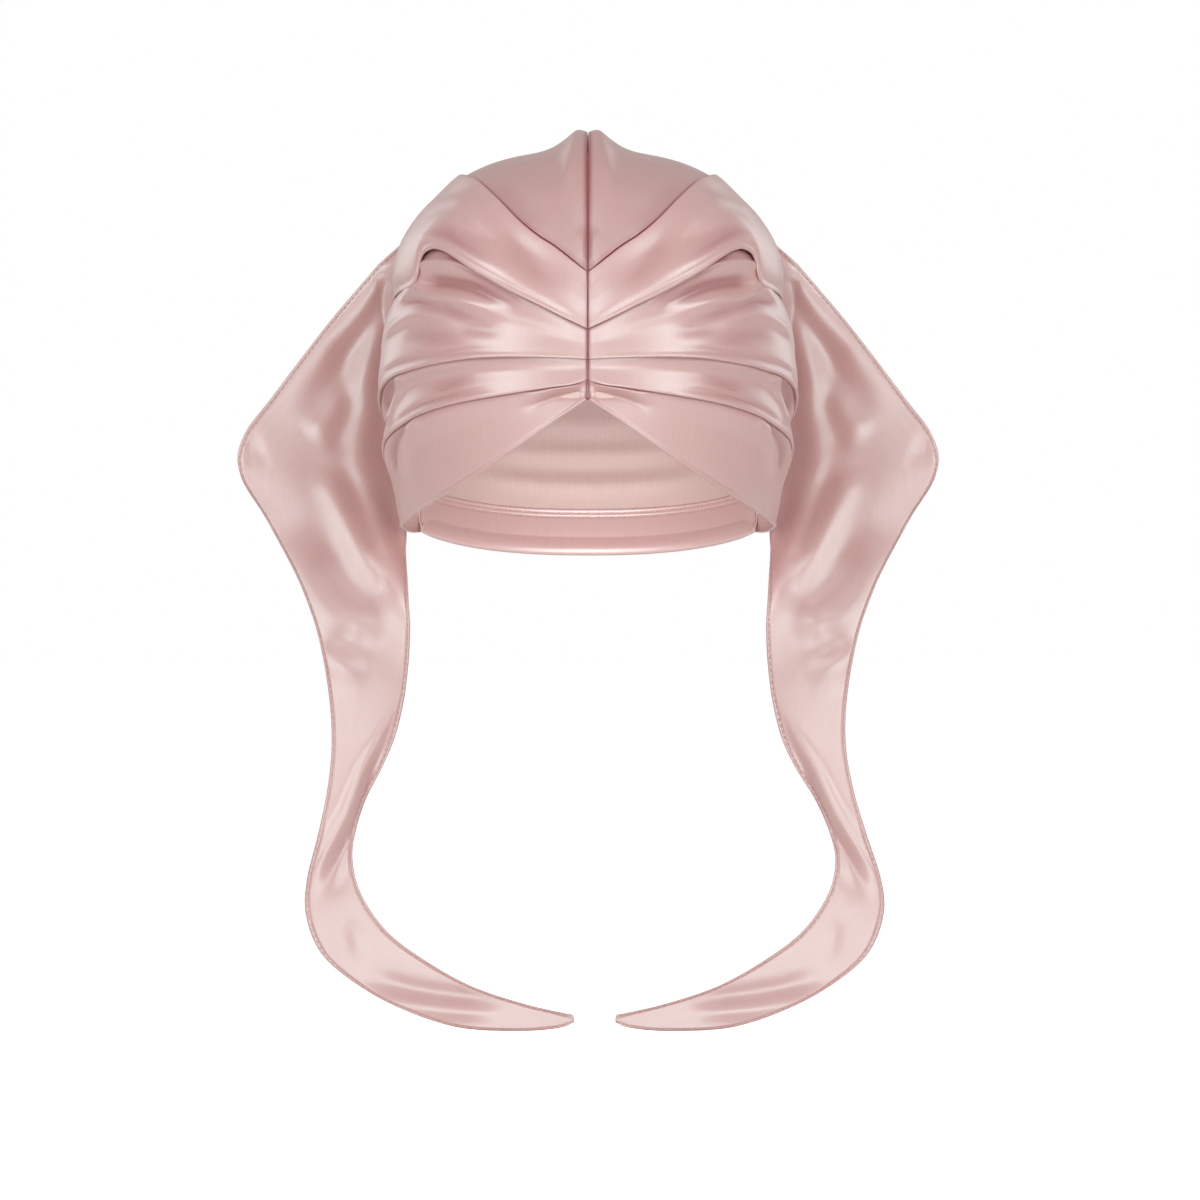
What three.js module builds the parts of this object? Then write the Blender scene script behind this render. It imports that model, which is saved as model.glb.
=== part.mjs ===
// Satin turban headwrap with two long ties, held in the form that it has when worn.
// Millimetres. The front faces -Y, +X is the viewer's right as seen from the front and Z is up.
// The origin is in the middle of the head opening, level with the temples.

import * as THREE from "three";

// The rounded form that the cloth is sewn to.
const HEAD_HALF_WIDTH = 88;
const FRONT_DEPTH = 97;
const BACK_DEPTH = 101;
const CROWN_RISE = 108; // from the widest level to the top
const WIDEST_LEVEL = 60; // height of the widest level above the temples
const LOWER_DROP = 143; // how slowly the form draws in below the widest level
const ROUNDNESS = 2.4; // 2 is an ellipsoid, and more is squarer
const CROWN_ROUNDNESS = 2.8;
const CROWN_PEAK = 12; // how far the centre seam draws the crown up
const PEAK_WIDTH = 15;

// The cloth.
const WRAP_WALL = 1.6; // two layers of satin
const CROWN_WALL = 1.6;
const BACK_WALL = 1.6;
const HEM_WALL = 1.1;
const TIE_WALL = 1.5;
const SEAM_GAP = 0.3; // between pieces that are sewn to each other
const HEM_DEPTH = 20;
const HEM_START = 0.02; // how far round the nape from a side seam the hem starts, as a share
const NAPE_DROP = 12.6; // how far the back edge hangs below the temples

// The pleats of each wrap. A lip is the raised lower edge of a pleat.
const LIP_HEIGHT = 6.5;
const PLEAT_PUFF = 6;
const TUCK_LENGTH = 3; // how far the next pleat starts above the lip that covers it
const COVERING_LIP = 2.4; // a lip has to be higher than this to cover a tuck
const PUFF_SAG = 1.35; // more than 1 puts the fullest part of a pleat lower down
const FOLD_HEIGHT = 5; // of the soft folds, which state theirs as shares of this
const SEAM_VALLEY = 2.6; // how deep the cloth dips into the centre seam
const SEAM_VALLEY_WIDTH = 7;

// The ties.
const TIE_DROP = 227; // lowest point below the temples
const TIE_REACH = 158.5; // furthest point from the middle
const TIE_DEPTH = 42; // how far behind the middle a tie starts
const TIE_RIPPLE = 5.5; // height of its folds
const RIGHT_TIE_SWAY = 6; // how much further out the right tie hangs at its lower end
const TIE_CLEARANCE = 0.9; // of its sewn end above the back panel

const SATIN = new THREE.Color("#dcb9b6");
const SATIN_DEEP = new THREE.Color("#d3aba8");
const SATIN_REVERSE = new THREE.Color("#dfc8be");

// Positions on the form are shares of its half width, its depth and its height from the widest level.
// Each row below is one place on a line: x and y level with the head, z upwards.
const side = (x, y, z) => new THREE.Vector3(x, y, z);

// The side seam, from the top of the crown down to the lower edge behind the ear.
const SIDE_SEAM = [
  side(0.0, 0.26, 0.985),
  side(-0.34, 0.29, 0.96),
  side(-0.62, 0.33, 0.86),
  side(-0.85, 0.37, 0.6),
  side(-0.96, 0.4, 0.24),
  side(-0.95, 0.42, -0.08),
  side(-0.8763, 0.45, -0.4196),
];

// Each line of the wrap runs from the centre seam round to its place on the side seam.
// lip and puff are shares of LIP_HEIGHT and PLEAT_PUFF at each place: the lip of this line,
// and the puff of the cloth between this line and the next one below.
const GORE_SEAM = {
  seamAt: 0.333,
  places: [
    side(0, -0.953, 0.476),
    side(-0.132, -0.921, 0.559),
    side(-0.314, -0.834, 0.673),
    side(-0.485, -0.625, 0.811),
    side(-0.587, -0.365, 0.875),
    side(-0.65, 0, 0.881),
  ],
  lip: [0.1, 0.12, 0.15, 0.2, 0.3, 0.35, 0.1],
  puff: [0.1, 0.3, 0.5, 0.7, 0.9, 1.2, 1.1, 0.15],
};
const UPPER_PLEAT = {
  seamAt: 0.6,
  places: [
    side(0, -0.993, 0.239),
    side(-0.225, -0.973, 0.324),
    side(-0.439, -0.905, 0.416),
    side(-0.601, -0.794, 0.51),
    side(-0.718, -0.679, 0.539),
    side(-0.796, -0.624, 0.463),
    side(-0.948, -0.306, 0.391),
  ],
  lip: [0.25, 0.5, 0.8, 1.15, 1.4, 1.05, 0.4, 0.1],
  puff: [0.1, 0.1, 0.0, -0.15, 0.0, 0.5, 0.95, 0.15],
};
const MIDDLE_PLEAT = {
  seamAt: 0.85,
  places: [
    side(0, -0.999, 0.115),
    side(-0.286, -0.978, 0.123),
    side(-0.517, -0.908, 0.121),
    side(-0.725, -0.771, 0.102),
    side(-0.876, -0.581, 0.071),
    side(-0.97, -0.32, 0.019),
    side(-0.99, 0.0, -0.063),
  ],
  lip: [0.2, 0.35, 0.45, 0.6, 0.75, 0.9, 0.9, 0.2],
  puff: [0.1, 0.15, 0.2, 0.15, 0.05, 0.0, 0.0, 0.0],
};
const LOWER_PLEAT = {
  seamAt: 0.93,
  places: [
    side(0, -1, 0.032),
    side(-0.197, -0.992, 0.001),
    side(-0.43, -0.943, -0.025),
    side(-0.657, -0.827, -0.051),
    side(-0.847, -0.627, -0.095),
    side(-0.96, -0.34, -0.154),
    side(-0.977, -0.02, -0.24),
  ],
  lip: [0.2, 0.3, 0.4, 0.5, 0.6, 0.7, 0.7, 0.2],
  puff: [0.1, 0.12, 0.1, 0.05, 0.0, 0.0, 0.0, 0.0],
};
const BROW_EDGE = {
  seamAt: 1,
  places: [
    side(0, -1, -0.036),
    side(-0.189, -0.99, -0.114),
    side(-0.404, -0.941, -0.206),
    side(-0.619, -0.826, -0.292),
    side(-0.808, -0.616, -0.363),
    side(-0.93, -0.26, -0.408),
    side(-0.93, 0.12, -0.42),
  ],
  lip: [0, 0, 0, 0, 0, 0, 0, 0],
};

// Soft folds between the pleats. Each runs between two places on the form, height is a share of
// FOLD_HEIGHT and width is a share of the form's size.
const WRAP_FOLDS = [
  { from: side(-0.5, -0.83, 0.3), to: side(-0.86, -0.46, 0.38), height: -1, width: 0.09 },
  { from: side(-0.55, -0.84, 0.24), to: side(-0.92, -0.36, 0.36), height: 0.44, width: 0.07 },
  { from: side(-0.62, -0.8, 0.19), to: side(-0.97, -0.18, 0.27), height: -0.48, width: 0.07 },
  { from: side(-0.6, -0.8, 0.13), to: side(-0.98, -0.2, 0.16), height: 0.32, width: 0.08 },
  { from: side(-0.5, -0.6, 0.6), to: side(-0.72, -0.25, 0.7), height: 0.48, width: 0.12 },
  { from: side(-0.3, -0.9, 0.08), to: side(-0.75, -0.7, 0.0), height: -0.24, width: 0.06 },
  { from: side(-0.04, -1, 0.0), to: side(-0.3, -0.95, -0.06), height: -0.32, width: 0.06 },
];
const CROWN_FOLDS = [
  { from: side(-0.12, -0.82, 0.7), to: side(-0.35, -0.2, 0.95), height: -0.44, width: 0.2 },
  { from: side(-0.08, -0.1, 1.0), to: side(-0.1, -0.8, 0.72), height: 0.24, width: 0.07 },
];
const BACK_FOLDS = [
  { from: side(-0.7, 0.72, -0.12), to: side(0.6, 0.8, -0.16), height: 0.32, width: 0.07 },
  { from: side(-0.5, 0.86, 0.06), to: side(0.7, 0.72, 0.1), height: -0.28, width: 0.07 },
  { from: side(-0.7, 0.6, 0.4), to: side(0.7, 0.6, 0.36), height: 0.36, width: 0.12 },
];

// The outline of a tie below its root: the outer and the inner edge as shares of TIE_REACH and
// TIE_DROP, and how far back it hangs as a share of TIE_DEPTH.
const TIE_ROOT = { from: 0.345, to: 0.985 };
const TIE_STATIONS = [
  { outerX: -0.6, outerZ: 0.525, innerX: -0.525, innerZ: 0.03, depth: 1.22 },
  { outerX: -0.745, outerZ: 0.405, innerX: -0.522, innerZ: -0.054, depth: 1.15 },
  { outerX: -0.9, outerZ: 0.262, innerX: -0.517, innerZ: -0.105, depth: 1.0 },
  { outerX: -0.985, outerZ: 0.18, innerX: -0.513, innerZ: -0.153, depth: 0.9 },
  { outerX: -0.998, outerZ: 0.11, innerX: -0.509, innerZ: -0.198, depth: 0.85 },
  { outerX: -0.923, outerZ: 0.02, innerX: -0.511, innerZ: -0.252, depth: 0.82 },
  { outerX: -0.832, outerZ: -0.099, innerX: -0.517, innerZ: -0.304, depth: 0.78 },
  { outerX: -0.772, outerZ: -0.218, innerX: -0.528, innerZ: -0.357, depth: 0.72 },
  { outerX: -0.741, outerZ: -0.337, innerX: -0.551, innerZ: -0.422, depth: 0.65 },
  { outerX: -0.732, outerZ: -0.436, innerX: -0.59, innerZ: -0.486, depth: 0.58 },
  { outerX: -0.744, outerZ: -0.526, innerX: -0.633, innerZ: -0.545, depth: 0.5 },
  { outerX: -0.77, outerZ: -0.615, innerX: -0.662, innerZ: -0.609, depth: 0.42 },
  { outerX: -0.801, outerZ: -0.704, innerX: -0.67, innerZ: -0.668, depth: 0.35 },
  { outerX: -0.804, outerZ: -0.773, innerX: -0.642, innerZ: -0.737, depth: 0.28 },
  { outerX: -0.767, outerZ: -0.843, innerX: -0.568, innerZ: -0.809, depth: 0.22 },
  { outerX: -0.69, outerZ: -0.896, innerX: -0.454, innerZ: -0.868, depth: 0.17 },
  { outerX: -0.562, outerZ: -0.95, innerX: -0.321, innerZ: -0.918, depth: 0.12 },
  { outerX: -0.392, outerZ: -0.993, innerX: -0.179, innerZ: -0.95, depth: 0.08 },
  { outerX: -0.208, outerZ: -1.002, innerX: -0.08, innerZ: -0.966, depth: 0.05 },
  { outerX: -0.052, outerZ: -0.997, innerX: -0.032, innerZ: -0.972, depth: 0.03 },
];
// Folds of a tie: where each starts and ends along it and across it (0 is the outer edge).
const TIE_FOLDS = [
  { start: 0.0, startAcross: 0.3, end: 0.3, endAcross: 0.45, height: -0.9, width: 0.1 },
  { start: 0.02, startAcross: 0.5, end: 0.42, endAcross: 0.62, height: 1.0, width: 0.1 },
  { start: 0.03, startAcross: 0.68, end: 0.35, endAcross: 0.8, height: -0.8, width: 0.08 },
  { start: 0.12, startAcross: 0.18, end: 0.45, endAcross: 0.3, height: 0.7, width: 0.12 },
  { start: 0.48, startAcross: 0.95, end: 0.76, endAcross: 0.35, height: -1.0, width: 0.2 },
  { start: 0.62, startAcross: 0.75, end: 0.85, endAcross: 0.5, height: 0.6, width: 0.16 },
  { start: 0.76, startAcross: 0.3, end: 0.97, endAcross: 0.45, height: -0.5, width: 0.2 },
];

// Rows and columns of each mesh.
const WRAP_COLUMNS = 25;
const PLEAT_ROWS = [8, 8, 5, 5];
const CROWN_COLUMNS = 13;
const CROWN_ROWS = 8;
const BACK_COLUMNS = 22;
const BACK_ROWS = 16;
const HEM_COLUMNS = 24;
const HEM_ROWS = 5;
const TIE_COLUMNS = 9;
const TIE_ROWS = 44;

// The point and the outward normal of the form in the direction of a place.
function onForm(place) {
  const power = (value, exponent) => Math.sign(value) * Math.abs(value) ** exponent;
  const upright = place.z > 0 ? CROWN_ROUNDNESS : ROUNDNESS;
  const plan = Math.abs(place.x) ** ROUNDNESS + Math.abs(place.y) ** ROUNDNESS;
  const length = (plan ** (upright / ROUNDNESS) + Math.abs(place.z) ** upright) ** (1 / upright);
  const share = place.clone().divideScalar(length);
  const depth = share.y < 0 ? FRONT_DEPTH : BACK_DEPTH;
  const height = share.z > 0 ? CROWN_RISE : LOWER_DROP;
  const level = (plan / length ** ROUNDNESS) ** (upright / ROUNDNESS - 1);
  const normal = new THREE.Vector3(
    (level * power(share.x, ROUNDNESS - 1)) / HEAD_HALF_WIDTH,
    (level * power(share.y, ROUNDNESS - 1)) / depth,
    power(share.z, upright - 1) / height,
  ).normalize();
  const point = new THREE.Vector3(
    share.x * HEAD_HALF_WIDTH,
    share.y * depth,
    WIDEST_LEVEL + share.z * height,
  );
  const { smoothstep } = THREE.MathUtils;
  const onTop = smoothstep(share.z, 0.6, 1) * (1 - smoothstep(share.y, 0.1, 0.8));
  point.z += CROWN_PEAK * onTop * Math.exp(-((point.x / PEAK_WIDTH) ** 2));
  return { point, normal, share };
}

// A smooth curve through evenly spaced values, which may be numbers or vectors.
function along(values, t) {
  const last = values.length - 1;
  const at = THREE.MathUtils.clamp(t, 0, 1) * last;
  const cell = Math.min(Math.floor(at), last - 1);
  const f = at - cell;
  const [a, b, c, d] = [cell - 1, cell, cell + 1, cell + 2].map(
    (i) => values[THREE.MathUtils.clamp(i, 0, last)],
  );
  const blend = (p, q, r, s) =>
    q + 0.5 * f * (r - p + f * (2 * p - 5 * q + 4 * r - s + f * (3 * (q - r) + s - p)));
  if (typeof b === "number") return blend(a, b, c, d);
  return new THREE.Vector3(
    blend(a.x, b.x, c.x, d.x),
    blend(a.y, b.y, c.y, d.y),
    blend(a.z, b.z, c.z, d.z),
  );
}

// A line of the wrap, from the centre seam to its place on the side seam.
function lineAt(line, u) {
  return along([...line.places, along(SIDE_SEAM, line.seamAt)], u);
}

// How far the soft folds raise the cloth at a place.
function foldHeight(folds, place) {
  let height = 0;
  for (const fold of folds) {
    const run = fold.to.clone().sub(fold.from);
    const t = place.clone().sub(fold.from).dot(run) / run.lengthSq();
    if (t <= 0 || t >= 1) continue;
    const foot = fold.from.clone().addScaledVector(run, t);
    const bow = Math.sin(Math.PI * t);
    const distance = place.distanceTo(foot.normalize().multiplyScalar(place.length()));
    height += fold.height * bow * Math.exp(-((distance / fold.width) ** 2));
  }
  return height * FOLD_HEIGHT;
}

// The dip of the cloth into the centre seam.
function seamDip(point) {
  return -SEAM_VALLEY * Math.exp(-((point.x / SEAM_VALLEY_WIDTH) ** 2));
}

// Keeps a row of points clear of the piece on the other side of the centre seam.
function clearOfCentre(point) {
  point.x = Math.min(point.x, -SEAM_GAP / 2);
  return point;
}

// Draws the border of a grid in, so that sewn pieces keep the seam gap between them.
function drawIn(grid, { firstRow, lastRow, firstColumn, lastColumn }) {
  const pull = (point, towards) =>
    point.add(towards.clone().sub(point).setLength(SEAM_GAP));
  const rows = grid.length - 1;
  const columns = grid[0].length - 1;
  if (firstRow) grid[0].forEach((p, j) => pull(p, grid[1][j]));
  if (lastRow) grid[rows].forEach((p, j) => pull(p, grid[rows - 1][j]));
  if (firstColumn) grid.forEach((row) => pull(row[0], row[1]));
  if (lastColumn) grid.forEach((row) => pull(row[columns], row[columns - 1]));
  return grid;
}

// Normals of a grid of points, taken from its neighbours and turned to face outwards.
function gridNormals(grid, outward) {
  return grid.map((row, i) =>
    row.map((point, j) => {
      const across = row[Math.min(j + 1, row.length - 1)]
        .clone()
        .sub(row[Math.max(j - 1, 0)]);
      const down = grid[Math.min(i + 1, grid.length - 1)][j]
        .clone()
        .sub(grid[Math.max(i - 1, 0)][j]);
      const normal = across.cross(down);
      if (normal.lengthSq() < 1e-8) normal.copy(outward(point));
      normal.normalize();
      return normal.dot(outward(point)) < 0 ? normal.negate() : normal;
    }),
  );
}

// A closed wall of cloth on a grid of points: its face, its reverse and its four edges.
function clothWall(grid, reverse) {
  const rows = grid.length;
  const columns = grid[0].length;
  const points = [...grid.flat(), ...reverse.flat()];
  const back = rows * columns;
  const triangles = [];
  const quad = (a, b, c, d) => triangles.push([a, b, c], [a, c, d]);
  const id = (i, j) => i * columns + j;
  for (let i = 0; i < rows - 1; i++)
    for (let j = 0; j < columns - 1; j++) {
      const [a, b, c, d] = [id(i, j), id(i + 1, j), id(i + 1, j + 1), id(i, j + 1)];
      quad(a, b, c, d);
      quad(back + d, back + c, back + b, back + a);
    }
  for (let i = 0; i < rows - 1; i++) {
    quad(id(i, 0), back + id(i, 0), back + id(i + 1, 0), id(i + 1, 0));
    const [top, low] = [id(i, columns - 1), id(i + 1, columns - 1)];
    quad(low, back + low, back + top, top);
  }
  for (let j = 0; j < columns - 1; j++) {
    quad(id(0, j + 1), back + id(0, j + 1), back + id(0, j), id(0, j));
    const [left, right] = [id(rows - 1, j), id(rows - 1, j + 1)];
    quad(left, back + left, back + right, right);
  }
  return closedGeometry(points, triangles);
}

// Joins coincident points, drops the triangles that this closes up and faces the rest outwards.
function closedGeometry(points, triangles) {
  const places = new Map();
  const index = points.map((p) => {
    const key = [p.x, p.y, p.z].map((value) => value.toFixed(3)).join();
    if (!places.has(key)) places.set(key, places.size);
    return places.get(key);
  });
  const kept = [];
  points.forEach((p, i) => (kept[index[i]] = p));
  const faces = triangles
    .map((t) => t.map((i) => index[i]))
    .filter(([a, b, c]) => a !== b && b !== c && c !== a);
  const volume = faces.reduce(
    (sum, [a, b, c]) => sum + kept[a].dot(kept[b].clone().cross(kept[c])),
    0,
  );
  if (volume < 0) faces.forEach((face) => face.reverse());
  const geometry = new THREE.BufferGeometry();
  geometry.setAttribute(
    "position",
    new THREE.Float32BufferAttribute(kept.flatMap((p) => [p.x, p.y, p.z]), 3),
  );
  geometry.setIndex(faces.flat());
  geometry.computeVertexNormals();
  return geometry;
}

// The outward normal of the form under a point of the cloth.
function formNormal(point) {
  const depth = point.y < 0 ? FRONT_DEPTH : BACK_DEPTH;
  const rise = point.z - WIDEST_LEVEL;
  const height = rise > 0 ? CROWN_RISE : LOWER_DROP;
  return onForm(side(point.x / HEAD_HALF_WIDTH, point.y / depth, rise / height)).normal;
}

// The reverse side of a grid, one wall thickness inside it. Sewn edges are square to the form,
// so that the walls of two pieces meet face to face.
function reverseOf(grid, wall) {
  const normals = gridNormals(grid, formNormal);
  const lastRow = grid.length - 1;
  const lastColumn = grid[0].length - 1;
  return grid.map((row, i) =>
    row.map((point, j) => {
      const onBorder = i === 0 || i === lastRow || j === 0 || j === lastColumn;
      const normal = onBorder ? formNormal(point) : normals[i][j];
      return point.clone().addScaledVector(normal, -wall);
    }),
  );
}

// The pleated front half: four lapped pleats that are gathered at the centre seam.
function wrapGrid() {
  const lines = [GORE_SEAM, UPPER_PLEAT, MIDDLE_PLEAT, LOWER_PLEAT, BROW_EDGE];
  const rows = [];
  PLEAT_ROWS.forEach((count, pleat) => {
    const [upper, lower] = [lines[pleat], lines[pleat + 1]];
    for (let k = 0; k < count; k++) {
      const s = k / (count - 1);
      const row = [];
      for (let j = 0; j < WRAP_COLUMNS; j++) {
        const u = j / (WRAP_COLUMNS - 1);
        const from = lineAt(upper, u);
        const to = lineAt(lower, u);
        const covering = along(upper.lip, u) * LIP_HEIGHT;
        const tuck = pleat > 0 ? THREE.MathUtils.clamp(covering - COVERING_LIP, 0, TUCK_LENGTH) : 0;
        const width = onForm(from).point.distanceTo(onForm(to).point);
        const start = -tuck / Math.max(width, 4 * TUCK_LENGTH);
        const place = from.lerp(to, start + (1 - start) * s);
        const seamAt = THREE.MathUtils.lerp(upper.seamAt, lower.seamAt, s);
        const straight = lineAt(upper, 1).lerp(lineAt(lower, 1), s);
        place.addScaledVector(along(SIDE_SEAM, seamAt).sub(straight), u ** 4);
        const { point, normal, share } = onForm(place);
        const lip = along(lower.lip, u) * LIP_HEIGHT * THREE.MathUtils.smoothstep(s, 0.35, 1);
        const puff = along(upper.puff, u) * PLEAT_PUFF * Math.sin(Math.PI * s ** PUFF_SAG);
        const soft = foldHeight(WRAP_FOLDS, share) * Math.min(1, 3 * (1 - s), 6 * s + 0.4);
        const height = lip + puff + soft + seamDip(point);
        row.push(clearOfCentre(point.addScaledVector(normal, height)));
      }
      rows.push(row);
    }
  });
  return drawIn(rows, { firstRow: true, lastColumn: true });
}

// The gore between the centre seam, the side seam and the top of the wrap.
function crownGrid() {
  const [top, foot] = [along(SIDE_SEAM, 0), side(0, -0.8, 0.72)];
  const rows = [];
  for (let i = 0; i < CROWN_ROWS; i++) {
    const v = i / (CROWN_ROWS - 1);
    const row = [];
    for (let j = 0; j < CROWN_COLUMNS; j++) {
      const u = j / (CROWN_COLUMNS - 1);
      const onSeam = along(SIDE_SEAM, GORE_SEAM.seamAt * u);
      const onGore = lineAt(GORE_SEAM, u);
      const towardsCentre = top.clone().lerp(foot, v);
      const place = onSeam.lerp(onGore, v);
      place.lerp(towardsCentre, 0.1 * (1 - u) * Math.sin(Math.PI * v));
      const { point, normal, share } = onForm(place);
      const lip = along(GORE_SEAM.lip, u) * LIP_HEIGHT * v;
      const height = lip + foldHeight(CROWN_FOLDS, share) + seamDip(point);
      row.push(clearOfCentre(point.addScaledVector(normal, height)));
    }
    rows.push(row);
  }
  return drawIn(rows, { firstRow: true, lastRow: true, lastColumn: true });
}

// The lower edge of the back, from one side seam round the nape to the other.
function napeEdge(t) {
  const corner = onForm(along(SIDE_SEAM, 1)).share;
  const power = (value, exponent) => Math.sign(value) * Math.abs(value) ** exponent;
  const start = Math.atan2(power(corner.y, ROUNDNESS / 2), power(corner.x, ROUNDNESS / 2));
  const angle = THREE.MathUtils.lerp(start, Math.PI - start, t);
  const round = (value) => power(value, 2 / ROUNDNESS);
  const behind = (Math.sin(angle) - Math.sin(start)) / (1 - Math.sin(start));
  const drop = (NAPE_DROP / LOWER_DROP) * behind - corner.z;
  const draw = (1 - drop ** ROUNDNESS) ** (1 / ROUNDNESS);
  return side(draw * round(Math.cos(angle)), draw * round(Math.sin(angle)), -drop);
}

// The back panel is a patch between four borders: the seam over the crown, both side seams
// and the nape. rim draws it down to the lower edge of the hem.
function backPlace(u, v) {
  const crown = 0.3;
  const mirrored = (place, flip) => side(flip ? -place.x : place.x, place.y, place.z);
  const onCrown = (t) => mirrored(along(SIDE_SEAM, crown * Math.abs(1 - 2 * t)), t > 0.5);
  const onSide = (t, flip) => mirrored(along(SIDE_SEAM, crown + (1 - crown) * t), flip);
  const [left, right] = [onSide(v, false), onSide(v, true)];
  const [top, low] = [onCrown(u), napeEdge(u)];
  const sides = left.lerp(right, u);
  const ends = top.lerp(low, v);
  const corners = onCrown(0)
    .lerp(onCrown(1), u)
    .lerp(napeEdge(0).lerp(napeEdge(1), u), v);
  return sides.add(ends).sub(corners);
}

// A grid on the back of the head, raised by a height that depends on the place.
function backGrid() {
  const rows = [];
  for (let i = 0; i < BACK_ROWS; i++) {
    const row = [];
    for (let j = 0; j < BACK_COLUMNS; j++) {
      const [u, v] = [j / (BACK_COLUMNS - 1), i / (BACK_ROWS - 1)];
      const { point, normal, share } = onForm(backPlace(u, v));
      const edge = Math.min(1, 8 * v, 8 * (1 - v), 8 * u, 8 * (1 - u));
      row.push(point.addScaledVector(normal, edge * foldHeight(BACK_FOLDS, share)));
    }
    rows.push(row);
  }
  return drawIn(rows, { firstRow: true, firstColumn: true, lastColumn: true });
}

// The turned hem inside the nape edge.
function hemGrids() {
  const [face, reverse] = [[], []];
  const inset = BACK_WALL + 2 * SEAM_GAP;
  for (let i = 0; i < HEM_ROWS; i++) {
    const up = HEM_DEPTH * (1 - i / (HEM_ROWS - 1));
    const [outer, inner] = [[], []];
    for (let j = 0; j < HEM_COLUMNS; j++) {
      const t = THREE.MathUtils.lerp(HEM_START, 1 - HEM_START, j / (HEM_COLUMNS - 1));
      const place = napeEdge(t);
      const { point, normal } = onForm(place.add(side(0, 0, up / LOWER_DROP)));
      outer.push(point.clone().addScaledVector(normal, -inset));
      inner.push(point.addScaledVector(normal, -inset - HEM_WALL));
    }
    face.push(outer);
    reverse.push(inner);
  }
  return [face, reverse];
}

// A point of a tie, from its root on the side seam (0) to its tip (1) and across from the
// outer edge (0) to the inner edge (1).
function tiePoint(t, across, sway) {
  const seam = along(SIDE_SEAM, THREE.MathUtils.lerp(TIE_ROOT.from, TIE_ROOT.to, across));
  const behind = (TIE_WALL / 2 + SEAM_GAP) / BACK_DEPTH;
  const { point, normal } = onForm(seam.add(side(0, behind, 0)));
  const root = point.addScaledVector(normal, TIE_CLEARANCE);
  const column = (name) => TIE_STATIONS.map((station) => station[name]);
  const stations = TIE_STATIONS.length;
  const at = t * stations;
  const lower = THREE.MathUtils.clamp((at - 1) / (stations - 1), 0, 1);
  const [outerX, outerZ, innerX, innerZ, depth] = [
    "outerX",
    "outerZ",
    "innerX",
    "innerZ",
    "depth",
  ].map((name) => along(column(name), lower));
  const swing = -sway * THREE.MathUtils.smoothstep(t, 0.45, 0.7);
  const hanging = new THREE.Vector3(
    THREE.MathUtils.lerp(outerX, innerX, across) * TIE_REACH + swing,
    depth * TIE_DEPTH,
    THREE.MathUtils.lerp(outerZ, innerZ, across) * TIE_DROP,
  );
  return at < 1 ? root.lerp(hanging, at) : hanging;
}

// How far the folds of a tie stand proud, at a place along and across it.
function tieFold(t, across) {
  let height = 0;
  for (const fold of TIE_FOLDS) {
    const f = (t - fold.start) / (fold.end - fold.start);
    if (f <= 0 || f >= 1) continue;
    const middle = THREE.MathUtils.lerp(fold.startAcross, fold.endAcross, f);
    const bow = Math.sin(Math.PI * f);
    height += fold.height * bow * Math.exp(-(((across - middle) / fold.width) ** 2));
  }
  return height * TIE_RIPPLE;
}

// A tie hangs from the side seam: both sides of its wall are raised to the front by its folds.
function tieGrids(sway) {
  const [face, reverse] = [[], []];
  for (let i = 0; i < TIE_ROWS; i++) {
    const t = i / (TIE_ROWS - 1);
    const [front, back] = [[], []];
    for (let j = 0; j < TIE_COLUMNS; j++) {
      const across = j / (TIE_COLUMNS - 1);
      const point = tiePoint(t, across, sway);
      const free = THREE.MathUtils.smoothstep(t, 0, 0.08);
      point.y -= tieFold(t, across) * free;
      const rooted = 1 - THREE.MathUtils.smoothstep(t, 0, 0.05);
      const normal = formNormal(point);
      const facing = side(0, -1, 0).addScaledVector(normal, rooted * normal.y).normalize();
      front.push(point.clone().addScaledVector(facing, TIE_WALL / 2));
      back.push(point.addScaledVector(facing, -TIE_WALL / 2));
    }
    face.push(front);
    reverse.push(back);
  }
  return [face, reverse];
}

// The same grid on the other side of the head.
function mirrorGrid(grid) {
  return grid.map((row) => row.map((p) => new THREE.Vector3(-p.x, p.y, p.z)));
}

function satin(color) {
  return new THREE.MeshStandardMaterial({
    color,
    roughness: 0.42,
    metalness: 0,
    side: THREE.DoubleSide,
  });
}

function piece(name, geometry, material) {
  const mesh = new THREE.Mesh(geometry, material);
  mesh.name = name;
  return mesh;
}

// Both halves of a pair, from the left one's face and reverse.
function pair(name, face, reverse, material) {
  return [
    piece(`${name}_left`, clothWall(face, reverse), material),
    piece(`${name}_right`, clothWall(mirrorGrid(face), mirrorGrid(reverse)), material),
  ];
}

function buildTurban() {
  const group = new THREE.Group();
  const wrap = wrapGrid();
  const wrapReverse = reverseOf(wrap, WRAP_WALL);
  wrapReverse.flat().forEach(clearOfCentre);
  const crown = crownGrid();
  const crownReverse = reverseOf(crown, CROWN_WALL);
  crownReverse.flat().forEach(clearOfCentre);
  const back = backGrid();
  group.add(...pair("wrap", wrap, wrapReverse, satin(SATIN)));
  group.add(...pair("crown_gore", crown, crownReverse, satin(SATIN_DEEP)));
  const backWall = clothWall(back, reverseOf(back, BACK_WALL));
  group.add(piece("back_panel", backWall, satin(SATIN)));
  group.add(piece("nape_hem", clothWall(...hemGrids()), satin(SATIN_REVERSE)));
  group.add(piece("tie_left", clothWall(...tieGrids(0)), satin(SATIN)));
  const rightTie = tieGrids(RIGHT_TIE_SWAY).map(mirrorGrid);
  group.add(piece("tie_right", clothWall(...rightTie), satin(SATIN)));
  return group;
}

export default buildTurban();
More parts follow.
